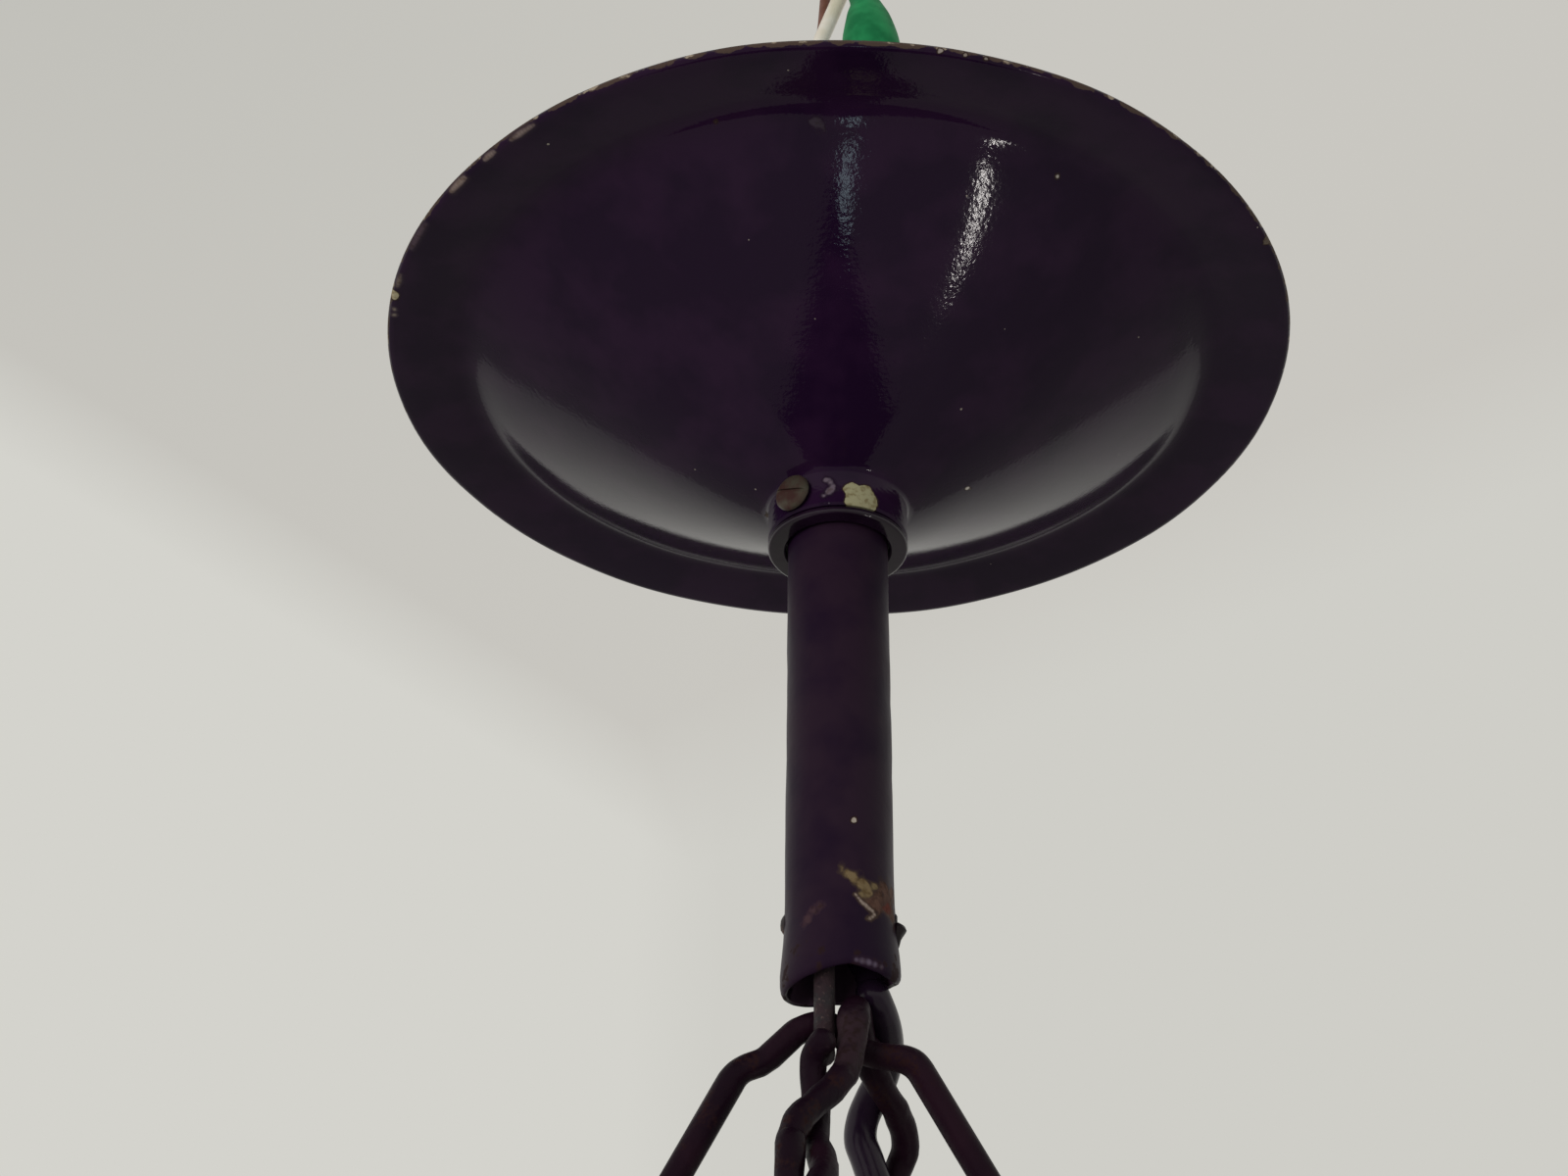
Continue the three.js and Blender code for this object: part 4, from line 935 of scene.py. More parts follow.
@dataclass
class Hanging:
    """The green vinyl-dipped ceiling hook, the bail on it and the pin through the stem's top."""

    hook_x_z_radius: tuple[Point, ...] = (
        (0, 0, 2.2), (0, -9, 2.1), (1.9, -15.5, 2.0), (4.3, -22, 2.1), (5.0, -26.5, 3.4),
        (5.5, -32, 4.3), (6.4, -37.5, 3.6), (4.7, -43, 2.9), (0, -46, 2.8), (-4.6, -43.4, 2.6),
        (-6.8, -39.5, 2.6), (-7.4, -36, 2.4),
    )
    collar_radius: float = 5.5
    collar_height: float = 2.4
    thread_radius: float = 2.0
    thread_top: float = 23.0
    bail_wire: float = 1.5
    bail_half: float = 8.5
    bail_crest: float = -41.4
    pin: float = 1.5

    def hook(self) -> Piece:
        """Makes the hook with its collar and screw.

        Returns:
            The hook.
        """
        line = eased([(x, 0, z) for x, z, _ in self.hook_x_z_radius], 8)
        sizes = [p.y for p in eased([(x, r, z) for x, z, r in self.hook_x_z_radius], 8)]
        tip = line[-1] + (line[-1] - line[-2]).normalized() * 1.6
        line += [line[-1].lerp(tip, s) for s in (0.5, 0.85, 1.0)]
        sizes += [sizes[-1] * s for s in (0.86, 0.55, 0.1)]
        shank = uneven(wire("hook_shank", line, sizes, 8, False), 0.18, 5, 2.0)
        radius, height = self.collar_radius, self.collar_height
        collar = turned("hook_collar", [
            (0, 0), (radius - 0.3, 0), (radius, -0.3), (radius, -height + 0.5),
            (radius - 0.7, -height), (2.4, -height - 0.4), (0, -height - 0.4)], 48)
        crest, top = self.thread_radius, self.thread_top
        root = crest * 0.72
        thread = ribbed(0.2, top - 3, 1.25, ((root, 0), (crest, 0.55), (root, 1.1)))
        screw = turned("hook_thread", [(0, 0.1), *thread, (crest * 0.7, top - 2.6), (0, top)], 20)
        return joined("ceiling_hook_dipped", [shank, collar, screw])

    def bail(self) -> Piece:
        """Makes the bail: a wire bow with a flattened lug at each foot.

        Returns:
            The bail.
        """
        half, foot = self.bail_half, UPPER_PIN_Z + 3
        spring = self.bail_crest - half
        left, right = ([Vector((0, side * half, z)) for z in (foot, spring - 12)]
                       for side in (-1, 1))
        line = [*left, *arc((0, 0, spring), half, math.pi, 0, 24), *right[::-1]]
        bits = [wire("bail_bow", line, self.bail_wire, 6, False)]
        for side in (-1, 1):
            lug = turned("bail_lug", [(1.8, -1.3), (3.6, -1.3), (4.0, -0.9), (4.0, 0.9),
                                      (3.6, 1.3), (1.8, 1.3)], 32, True)
            bits.append(placed(lug, (0, side * half, UPPER_PIN_Z), (90, "X")))
        return joined("bail_bow_with_lugs", bits)

    def upper_pin(self) -> Piece:
        """Makes the riveted pin through the bail's lugs and the stem.

        Returns:
            The pin.
        """
        end = self.bail_half + self.bail_wire + 0.3
        pin = turned("upper_rivet", [
            (0, -end - 1.2), (2.0, -end - 1.1), (2.8, -end - 0.5), (2.9, -end), (self.pin, -end),
            (self.pin, end), (2.4, end), (2.3, end + 0.6), (1.4, end + 1.1), (0, end + 1.2)], 28)
        return placed(pin, (0, 0, UPPER_PIN_Z), (-90, "X"))

    def build(self) -> None:
        """Makes and dresses the three pieces."""
        hang(self.hook(), Body.HOOK, "hook_vinyl", DIPPED_VINYL, "ceiling_hook")
        hang(self.bail(), Body.BAIL, "black_steel", BLACKED_STEEL, "top_bail")
        hang(self.upper_pin(), Body.BAIL, "black_steel", BLACKED_STEEL, "upper_cross_pin")


@dataclass
class Canopy:
    """The canopy: flat flange, rounded shoulder, cone and neck, its collar and set screw."""

    rim: float = 60.0
    neck: float = 8.95
    around: int = 288
    bore: float = 6.7
    screw_angle: float = 36.4
    screw_drop: float = 25.05
    screw_head: float = 2.45
    slot_turn: float = -19.0
    slot_width: float = 0.5

    def shell(self) -> Piece:
        """Makes the canopy's sheet, a little out of true and dented by hand.

        Returns:
            The canopy shell.
        """
        rim, neck = self.rim, self.neck
        under = [
            (rim, -0.45), (rim - 0.12, -0.75), (rim - 0.4, -0.95), (rim - 1.0, -0.98),
            (rim - 3, -0.72), (54, -0.35), (52.4, -0.05), (51.4, 0.12), (50.6, 0.18), (49.8, 0.1),
            (49.0, -0.18), (48.2, -0.6), (47.2, -1.22), (46.2, -1.84), (45.2, -2.45),
            (44.0, -3.15), (42, -4.32), (38, -6.65), (34, -8.98), (30, -11.3), (26, -13.6),
            (22, -15.8), (18, -18.0), (14.5, -19.85), (12.4, -20.85), (11.0, -21.5),
            (10.1, -21.9), (9.4, -22.2), (9.1, -22.5), (neck, -22.9), (neck, -27.3),
            (neck - 0.25, -27.6),
        ]
        top = [
            (neck - 0.85, -27.6), (neck - 1.0, -27.3), (neck - 1.0, -22.3), (8.6, -21.4),
            (9.6, -20.8), (12, -19.6), (20, -15.4), (30, -10.0), (40, -4.2), (44, -1.85),
            (47.5, 0.3), (49.2, 1.05), (50.6, 1.3), (52, 1.1), (56, 0.55), (rim - 1, 0.1),
            (rim - 0.4, 0.05), (rim - 0.12, -0.12),
        ]
        shell = turned("canopy_sheet", under + top, self.around, True, RIM_Z)
        for vertex in shell.data.vertices:
            out = vertex.co.xy.length / (rim * MM)
            way = math.atan2(vertex.co.y, vertex.co.x)
            sway = sum(depth * math.sin(waves * way + start) for depth, waves, start in (
                (0.22, 3, 0.7), (0.12, 7, 2.1), (0.06, 17, 0)))
            vertex.co.z += sway * MM * max(out - 0.55, 0) * 1.6
            dent = noise.noise(vertex.co / (17 * MM) + Vector((3.1, 0.4, 1.2)))
            vertex.co.z += dent * 0.16 * MM * min(1.0, out * 1.4)
        shell.data.update()
        return shell

    def collar(self) -> Piece:
        """Makes the collar inside the neck, with its lip below.

        Returns:
            The collar.
        """
        neck, bore = self.neck, self.bore
        ring = turned("collar_ring", [
            (bore, -28.7), (bore + 0.2, -28.85), (neck - 0.4, -28.85), (neck - 0.25, -28.82),
            (neck - 0.12, -28.74), (neck - 0.03, -28.62), (neck, -28.45), (neck, -28.15),
            (neck - 0.08, -27.98), (neck - 0.3, -27.9), (neck - 1.35, -27.9),
            (neck - 1.35, -18.7), (neck - 1.5, -18.6), (bore, -18.6)], 128, True, RIM_Z)
        return uneven(ring, 0.04, 3.0, 4.0)

    def screw(self) -> Piece:
        """Makes the slotted round-head set screw.

        Returns:
            The screw.
        """
        under, head, shank = self.neck + 0.3, self.screw_head, 1.3
        screw = turned("set_screw_head", [
            (0, 6.65), (shank, 6.65), (shank, under), (head - 0.15, under), (head, under + 0.15),
            (head, under + 0.5), (head * 0.93, under + 0.78), (head * 0.75, under + 0.98),
            (head * 0.5, under + 1.08), (0, under + 1.1)], 40)
        bpy.ops.mesh.primitive_cube_add(size=1, location=(0, 0, (under + 1.32) * MM))
        cutter = bpy.context.object
        cutter.scale = (head * 2.6 * MM, self.slot_width * MM, 1.1 * MM)
        take(screw)
        cut = screw.modifiers.new("slot", "BOOLEAN")
        cut.object = cutter
        cut.operation = "DIFFERENCE"
        bpy.ops.object.modifier_apply(modifier=cut.name)
        bpy.data.objects.remove(cutter)
        placed(screw, (0, 0, RIM_Z - self.screw_drop), (-self.screw_angle, "Z"), (90, "X"),
               (self.slot_turn, "Z"))
        return settle(screw, "round_head_screw")

    def build(self) -> None:
        """Makes and dresses the canopy's pieces."""
        hang(self.shell(), Body.CANOPY, "canopy_paint", CANOPY_ENAMEL, "canopy_shell")
        hang(self.collar(), Body.CANOPY, "canopy_paint", COLLAR_ENAMEL, "canopy_collar")
        hang(self.screw(), Body.SCREW, "screw_steel", SCREW_STEEL, "canopy_screw")


@dataclass
class Stem:
    """The stem tube with its lower pin, the terminal block on top, its leads and the flex."""

    outside: float = 6.35
    bore: float = 5.55
    flare: float = 0.5
    low_left: float = 1.6
    low_right: float = 0.7
    notch: float = 0.8
    pin: float = 1.25
    pin_left: float = 6.85
    pin_reach: float = 6.6
    burr_lean: float = math.degrees(0.16)
    block_face: float = -5.5
    well_z: float = -71.3
    cream_radius: float = 1.2
    brown_radius: float = 0.9
    flex_radius: float = 1.6
    cream: tuple[Point, ...] = (
        (3.9, 10.2, -0.3), (1.8, 9.2, -8), (-1.1, 8.5, -18), (-3.4, 8.2, -26), (-5.3, 8.0, -34),
        (-6.7, 7.8, -44), (-6.9, 6.9, -52), (-6.8, 3.6, -58), (-4.3, 1.2, -63.5),
        (-4.3, 1.2, -67.6),
    )
    brown: tuple[Point, ...] = (
        (-0.6, 11.6, -0.3), (-1.4, 11.2, -8), (-2.1, 10.9, -18), (-3.6, 10.8, -26),
        (-6.2, 10.7, -34), (-9.6, 10.3, -44), (-11.4, 7.8, -52), (-10.2, 2.2, -58.5),
        (-5.9, -2.4, -63.5), (-5.9, -2.4, -67.6),
    )
    inside: tuple[Point, ...] = (
        (4.0, 0, -76.3), (3.9, 0, -84), (3.5, 0.2, -92), (3.5, 0.2, -100), (2.9, 1.8, -125),
        (1.7, 3.1, -150), (1.6, 3.15, -170), (1.9, 3.0, -177), (3.1, 2.1, -180.4),
        (3.5, 1.95, -182.1),
    )

    def lip_drop(self, turn: float) -> float:
        """Gives how far the worn mouth hangs lower at an angle, with its notch for the flex."""
        left, right, notch = (max(math.cos(turn - math.radians(at)), 0) for at in (190, -30, 32))
        return self.low_left * left + self.low_right * right ** 3 - self.notch * notch ** 4

    def tube(self) -> Piece:
        """Makes the tube, a little swollen and rolled in at its mouth.

        Returns:
            The tube.
        """
        out, bore, wide = self.outside, self.bore, self.outside + self.flare
        top = STEM_TOP_Z - MOUTH_Z
        profile = [
            (bore, top), (out - 0.2, top), (out, top - 0.25),
            *ribbed(top - 2, 13, -2.5, ((out, 0),)), (out, 12), (out + 0.02, 9.5),
            (out + 0.12, 6.8), (out + 0.22, 5), (wide - 0.12, 3.2), (wide, 1.9), (wide, 0.9),
            (wide - 0.08, 0.45), (wide - 0.25, 0.15), (wide - 0.45, 0.02), (wide - 0.6, 0),
            (bore + 0.45, 0.2), (bore + 0.45, 1.2), (bore, 4.5), (bore, 20), (bore, 50),
        ]
        tube = turned("stem_barrel", profile, 112, True, MOUTH_Z)
        for vertex in tube.data.vertices:
            near = min(max(MOUTH_Z + 9 - vertex.co.z / MM, 0) / 9, 1)
            turn = math.atan2(vertex.co.y, vertex.co.x)
            vertex.co.z -= self.lip_drop(turn) * MM * near * near
        tube.data.update()
        return uneven(uneven(tube, 0.09, 7, 1.0), 0.05, 1.7, 5.0)

    def lower_pin(self) -> Piece:
        """Makes the lower pin, hammered over on the left and with a torn burr on the right.

        Returns:
            The pin.
        """
        left, reach, pin = self.pin_left, self.pin_reach, self.pin
        bar = turned("pin_bar", [
            (0, -left), (pin * 0.45, -left + 0.05), (pin * 0.75, -left + 0.25),
            (pin, -left + 0.5), (pin, -5), (pin, 5), (pin, reach - 0.4),
            (pin * 1.02, reach - 0.15), (pin * 0.8, reach), (0, reach)], 24)
        placed(bar, (0, 0, LOWER_PIN_Z), (90, "Y"))
        burr = turned("pin_burr", [(0, -2.6), (0.2, -2.0), (0.45, -1.2), (0.8, -0.3),
                                   (1.15, 0.35), (0.95, 0.7), (0.4, 0.95), (0, 1.0)], 14)
        burr.data.transform(Matrix.Diagonal((0.9, 1.1, 1.25, 1)))
        placed(burr, (6.45, -0.5, LOWER_PIN_Z - 1.3), (self.burr_lean, "Y"))
        return uneven(joined("lower_pin_burred", [bar, uneven(burr, 0.4, 0.8, 3.0)]),
                      0.06, 0.9, 2.0)

    def terminal_block(self) -> Piece:
        """Makes the nylon terminal block: a beveled block with two screw wells.

        Returns:
            The block.
        """
        bits = [copied("terminal_block", "block_body", 0.35)]
        for x in (-3.6, 3.6):
            well = turned("block_screw_well", [
                (1.3, -0.35), (1.7, -0.35), (1.7, 0.0), (1.9, 0.0), (2.6, 0.0), (2.7, -0.1),
                (2.7, -0.9), (1.3, -0.9)], 24, True)
            bits.append(placed(well, (x, self.block_face, self.well_z), (90, "X")))
        return joined("terminal_block_nylon", bits)

    def build(self) -> None:
        """Makes and dresses the stem's pieces."""
        hang(self.tube(), Body.STEM, "stem_paint", STEM_ENAMEL, "stem_tube")
        hang(self.lower_pin(), Body.STEM, "black_steel", BLACKED_STEEL, "lower_cross_pin")
        hang(self.terminal_block(), Body.STEM, "block_plastic", NYLON, "terminal_block")
        cream = wire("cream_supply_lead", eased(self.cream, 8), self.cream_radius)
        hang(cream, Body.STEM, "cream_pvc", CREAM_PVC, "cream_lead")
        brown = wire("brown_supply_lead", eased(self.brown, 8), self.brown_radius)
        hang(brown, Body.STEM, "brown_pvc", BROWN_PVC, "brown_lead")
        flex = wire("flex_in_stem", eased(self.inside, 8), self.flex_radius)
        hang(flex, Body.STEM, "black_pvc", BLACK_PVC, "stem_flex")


@dataclass
class TwistAxis:
    """The line that a twisted pair winds round, from its last free bend to its corner."""

    sense: float
    bend: Point
    azimuth: float
    phase: float


@dataclass
class Hangers:
    """The link at the stem's mouth, the spreader wires, the tie wire and the wound flex."""

    wire_radius: float = 1.55
    link_wire: float = 1.2
    link_half: float = 3.05
    link_x: float = -1.8
    link_slack: float = 0.9
    lean: float = math.radians(28.2)
    corner_radius: float = 105.0
    eye_bar_z: float = -360.42
    hook_pitch: float = 3.35
    twist_radius: float = 1.8
    half_pitch: float = 13.0
    twist_step: float = 3.25
    twist_end: float = -250.0
    crossing_x: float = 1.8
    crest_z: float = -187.3
    saddle_z: float = -189.85
    saddle_radius: float = 3.9
    saddle_lean: float = 0.1
    knob_z: float = MOUTH_Z - 5.5
    flex_radius: float = 1.9
    roof_top: float = -295.62
    side_bends: tuple[Point, ...] = (
        (-11.43, 0, -193.0), (-8.4, 0, -191.7), (-5.2, 0, -188.5), (-3.2, 0, -187.5),
        (-1.8, 0, -187.3), (-0.1, 0, -188.5), (1.8, 0, -190.4), (4.1, 0, -191.1),
        (8.1, 0, -191.6),
    )
    front: TwistAxis = field(
        default_factory=lambda: TwistAxis(1, (-3.6, -11.8, -206.0), -TO_BACK, -201.5))
    back: TwistAxis = field(
        default_factory=lambda: TwistAxis(-1, (4.85, 13.2, -203.5), TO_BACK, -204.0))
    front_free: tuple[Point, ...] = (
        (1.3, -4.4, -191.1), (0.85, -5.9, -194.2), (-0.4, -7.6, -197.1), (-2.6, -9.3, -199.8),
        (-4.4, -10.6, -202.0), (-5.2, -11.6, -204.4),
    )
    back_free: tuple[Point, ...] = (
        (2.6, 4.2, -188.5), (3.35, 5.8, -190.4), (4.55, 7.2, -192.2), (6.0, 9.4, -193.7),
        (7.05, 12.0, -195.2), (7.4, 13.8, -196.8), (6.7, 15.2, -198.7),
    )
    tie_free: tuple[Point, ...] = (
        (-1.8, -6.5, -191.9), (-2.4, -6.0, -192.5), (-2.85, -5.2, -193.4), (-2.95, -4.6, -194.9),
        (-2.75, -4.6, -197.0), (-2.65, -4.9, -199.1), (-2.7, -6.2, -201.4), (-2.7, -8.4, -203.9),
    )
    mouth_flex: tuple[Point, ...] = (
        (3.5, 1.92, -182.75), (3.8, 1.9, -183.4), (4.35, 2.8, -184.4), (4.95, 4.4, -185.5),
        (5.3, 6.4, -186.7), (5.3, 8.6, -188.0), (4.75, 10.6, -189.8), (3.5, 11.6, -192.0),
        (2.45, 11.5, -194.6), (2.2, 11.2, -197.0), (2.95, 11.2, -199.3),
    )

    def corner_hook(self, azimuth: float) -> list[Vector]:
        """Gives the open hook at a leg's end, round a corner eye's top bar.

        Args:
            azimuth: the leg's direction from the stem's axis.

        Returns:
            The hook's centreline, from the leg to the tip.
        """
        x, y = math.cos(azimuth), math.sin(azimuth)
        centre = (self.corner_radius * x, self.corner_radius * y, self.eye_bar_z)
        line = arc(centre, self.hook_pitch, math.pi + self.lean, 2 * math.pi + 0.35, 20, azimuth)
        return [*line, line[-1] + Vector((0.9 * x, 0.9 * y, 2.6))]

    def side_route(self) -> list[Vector]:
        """Gives the left-right spreader's centreline.

        Returns:
            The centreline.
        """
        left, right = self.corner_hook(math.pi)[::-1], self.corner_hook(0)
        middle = bent([left[-1], *[Vector(p) for p in self.side_bends], right[0]], 4, 10)
        return [*left[:-1], *middle, *right[1:]]

    def axis_point(self, axis: TwistAxis, z: float) -> Vector:
        """Gives the point of a twist's axis at a height."""
        start, end = Vector(axis.bend), self.corner_hook(axis.azimuth)[0]
        return start.lerp(end, (z - start.z) / (end.z - start.z))

    def offset(self, axis: TwistAxis, z: float) -> Vector:
        """Gives how far the leg's wire stands off the twist's axis at a height.

        Args:
            axis: the twist's axis.
            z: the height.

        Returns:
            The offset, in mm.
        """
        angle = math.pi / 2 + math.pi * (axis.phase - z) / self.half_pitch
        depth = -self.twist_radius * math.sin(angle) * axis.sense
        rise = math.sin(self.lean) * math.sin(axis.azimuth)
        return Vector((self.twist_radius * math.cos(angle), math.cos(self.lean) * depth,
                       rise * depth))

    def twisted(self, axis: TwistAxis, side: int) -> list[Vector]:
        """Gives the wound stretch of the leg's wire or of what is wound with it.

        Args:
            axis: the twist's axis.
            side: 1 for the leg's wire, -1 for its partner.

        Returns:
            The centreline.
        """
        line = []
        z = axis.bend[2]
        while z > self.twist_end:
            share = min(max((z - self.twist_end) / self.half_pitch, 0), 1)
            share = share * share * (3 - 2 * share)
            reach = share if side > 0 else share - 2
            line.append(self.axis_point(axis, z) + self.offset(axis, z) * reach)
            z -= self.twist_step
        return line

    def cross_route(self) -> list[Vector]:
        """Gives the front-back spreader's centreline, over the side spreader.

        Returns:
            The centreline.
        """
        crest = [(self.crossing_x + self.saddle_lean * i, self.saddle_radius * math.sin(i * 0.42),
                  self.saddle_z + self.saddle_radius * math.cos(i * 0.42)) for i in range(-3, 4)]
        legs = []
        for axis, free in ((self.front, self.front_free), (self.back, self.back_free)):
            far = self.corner_hook(axis.azimuth)
            last = self.axis_point(axis, self.twist_end - self.twist_step)
            points = [*free, *self.twisted(axis, 1), last, last.lerp(far[0], 0.5), far[0]]
            legs.append((points, far))
        (front, front_far), (back, back_far) = legs
        middle = eased([*front[::-1], *crest, *back], 5)
        return [*front_far[::-1][:-1], *middle, *back_far[1:]]

    def link_route(self) -> list[Vector]:
        """Gives the main link's centreline: an oval whose ends butt at the back.

        Returns:
            The centreline.
        """
        half, x = self.link_half, self.link_x
        top = LOWER_PIN_Z + 1.25 + 0.3 + self.link_wire - half
        bottom = self.crest_z - self.wire_radius - self.link_slack - self.link_wire + half
        ends = [Vector((x, half, (top + bottom) / 2 + gap)) for gap in (0.15, -0.15)]
        over = arc((x, 0, top), half, 0, math.pi, 16)
        return [ends[0], *over, *arc((x, 0, bottom), half, math.pi, 2 * math.pi, 16), ends[1]]

    def flex_route(self) -> list[Vector]:
        """Gives the flex's centreline from the mouth to the roof's bush.

        Returns:
            The centreline.
        """
        top = self.roof_top
        drop = ((2.2, 26, top + 26), (0.4, 8, top + 26), (0, 0, top + 14), (0, 0, top - 12))
        return eased([*self.mouth_flex, *self.twisted(self.back, -1), *drop], 6)

    def cross_wire(self) -> Piece:
        """Makes the front-back spreader, thicker where it is bent to a knob.

        Returns:
            The wire.
        """
        cross = wire("front_back_spreader_wire", self.cross_route(), self.wire_radius)
        uneven(cross, 0.2, 2.2, 3.0)
        for vertex in cross.data.vertices:
            swell = 0.2 * max(1 - abs(self.knob_z - vertex.co.z / MM) / 4.5, 0)
            vertex.co.x += (vertex.co.x - self.crossing_x * MM) * swell
        cross.data.update()
        return cross

    def build(self) -> None:
        """Makes and dresses the hangers."""
        link = wire("mouth_link", self.link_route(), self.link_wire, rounded=False)
        hang(uneven(link, 0.14, 1.2, 7.0), Body.LINK, "rusty_wire", RUST, "main_link")
        side = wire("side_spreader_wire", self.side_route(), self.wire_radius)
        hang(uneven(side, 0.2, 2.2, 1.0), Body.LANTERN, "black_steel", BLACKED_WIRE,
             "side_spreader")
        hang(self.cross_wire(), Body.LANTERN, "black_steel", BLACKED_WIRE, "front_back_spreader")
        line = eased([*self.tie_free, *self.twisted(self.front, -1)], 5)
        hang(uneven(wire("front_tie", line, self.wire_radius), 0.2, 2.0, 5.0), Body.LANTERN,
             "black_steel", BLACKED_WIRE, "front_tie_wire")
        flex = wire("wound_flex", self.flex_route(), self.flex_radius)
        hang(flex, Body.LANTERN, "black_pvc", BLACK_PVC, "hanger_flex")


@dataclass
class Lantern:
    """The square lantern: frames, posts, screens, panes, door, roof, tray, bulb and finial."""

    bush_z: float = -308.92
    nipple_top: float = -298.72
    nipple_bottom: float = -344.72
    holder_z: float = -338.72
    bulb_cap: float = 54.0
    finial_z: float = -604.12
    finial_eye_z: float = -629.52
    finial_eye: float = 3.4
    finial_eye_wire: float = 1.2
    ring_centre: float = -641.12
    ring_radius: float = 11.0
    ring_wire: float = 1.3

    def sheet_work(self) -> None:
        """Gives the sheet and strip pieces rolled edges and the lantern's enamel."""
        posts = [f"corner_post_{i}" for i in range(1, 5)]
        screens = [f"pierced_screen_{i}" for i in range(1, 4)]
        for node in ("top_frame", "bottom_frame", "door", "roof", "base_tray", *posts, *screens):
            sheet = copied(node, f"{node}_sheet", 0.35 if "frame" in node else 0.22)
            body = Body.DOOR if node == "door" else Body.LANTERN
            hang(sheet, body, "lantern_paint", LANTERN_ENAMEL, node)

    def steel_work(self) -> None:
        """Gives the eyes, hinge, latch and nut rolled edges and worn black paint."""
        eyes = [f"corner_eye_{i}" for i in range(1, 5)]
        for node in (*eyes, "hinge_leaf_upper", "hinge_leaf_lower", "hinge_pin", "latch_rivet",
                     "finial_nut"):
            forged = copied(node, f"{node}_forged", 0.12, 45)
            hang(forged, Body.LANTERN, "black_steel", BLACKED_STEEL, node)
        bar = copied("turn_latch", "turn_latch_bar", 0.25)
        hang(bar, Body.LATCH, "black_steel", BLACKED_STEEL, "turn_latch")

    def glazing(self) -> None:
        """Gives the panes ground edges and clear glass."""
        panes = [(f"glass_pane_{i}", f"pane_{i}", Body.LANTERN) for i in range(1, 4)]
        for node, name, body in (*panes, ("door_glass", "door_pane", Body.DOOR)):
            hang(copied(node, name, 0.25), body, "clear_glass", CLEAR_GLASS, node)

    def finial(self) -> Piece:
        """Makes the turned finial with its stud above and its eye below.

        Returns:
            The finial.
        """
        body = turned("finial_bobbin", [
            (0, 9), (3.6, 9), (4, 8.6), (4, 0), (12.2, 0), (12.5, -0.4), (12.5, -1.6), (12.1, -2),
            (9.5, -2.6), (6.6, -3.6), (5, -4.6), (4.4, -5.6), (4.5, -6.2), (5.8, -7.2),
            (7.5, -8.6), (8.6, -10.2), (9, -12), (8.7, -13.8), (7.6, -15.4), (5.8, -17),
            (4.2, -18.4), (3.0, -20), (2.3, -21.6), (0, -22.8)], 64, base=self.finial_z)
        lay_tools_down()
        bpy.ops.mesh.primitive_torus_add(
            major_radius=self.finial_eye * MM, minor_radius=self.finial_eye_wire * MM,
            major_segments=48, minor_segments=14)
        eye = bpy.context.object
        bpy.ops.object.mode_set(mode="EDIT")
        bpy.ops.transform.resize(value=(0.97, 1, 1))
        bpy.ops.object.mode_set(mode="OBJECT")
        placed(eye, (0, 0, self.finial_eye_z), (90, "X"))
        return joined("finial_turned", [body, eye])

    def ring(self) -> Piece:
        """Makes the pull ring, thinner at the seam where its ends were brazed.

        Returns:
            The ring.
        """
        line = arc((0, 0, self.ring_centre), self.ring_radius, 0, 2 * math.pi * 0.998, 96)
        sizes = [self.ring_wire * (0.93 if i in (0, 96) else 1.0) for i in range(97)]
        return wire("pull_ring", line, sizes, 6, False)

    def holder(self) -> Piece:
        """Makes the lampholder with its grip ribs.

        Returns:
            The lampholder.
        """
        ribs = ribbed(-7, -27, -2, ((18.0, 0), (17.5, -0.5), (17.5, -1.0), (18.0, -1.5)))
        return turned("lampholder_ribbed", [
            (6.8, -7.5), (6.8, 0), (11, 0), (14, -3), (18, -6), *ribs, (18, -28), (20, -30),
            (20, -50.2), (19.6, -51.2), (18.8, -52), (13.5, -52), (13.5, -12)],
            72, True, self.holder_z)

    def bulb(self) -> Piece:
        """Makes the pear-shaped opal bulb.

        Returns:
            The bulb.
        """
        thread = ribbed(35, 2, -3.2, ((12.5, 0), (13.2, -1.2), (12.5, -2.4)))
        return turned("opal_bulb", [
            (0, 40), (4.5, 39.8), (5, 39), (9, 37.4), (12.2, 36), *thread, (13.2, 0), (13.6, -3),
            (15.2, -8), (17.8, -14), (20.9, -20), (23.8, -26), (25.7, -32), (26.6, -38),
            (26.8, -44), (26.1, -50), (24.0, -57), (20.2, -63), (15.0, -67.6), (8.6, -70.6),
            (3, -71.8), (0, -72)], 72, base=self.holder_z - self.bulb_cap)

    def brass_work(self) -> None:
        """Makes the bush on the roof and the threaded nipple under it."""
        bush = turned("roof_bush_turned", [
            (6.8, 0), (14.1, 0), (14.5, 0.4), (14.5, 2.2), (14.1, 2.7), (12.2, 3.3), (11, 4.2),
            (9.7, 6.2), (9.3, 8.2), (9.0, 9.8), (8.2, 11.4), (7, 12.6), (6.6, 13), (3.9, 13),
            (3.6, 12.7), (3.6, 10.5), (6.8, 10.5)], 64, True, self.bush_z)
        top, bottom = self.nipple_top, self.nipple_bottom
        thread = ribbed(top - 0.4, bottom + 1, -0.8, ((6.5, 0), (6.2, -0.4)))
        nipple = turned("nipple_threaded", [(4.6, top), *thread, (6.2, bottom), (4.6, bottom)],
                        40, True)
        for piece, node in ((bush, "roof_bush"), (nipple, "nipple")):
            hang(piece, Body.LANTERN, "aged_brass", AGED_BRASS, node)

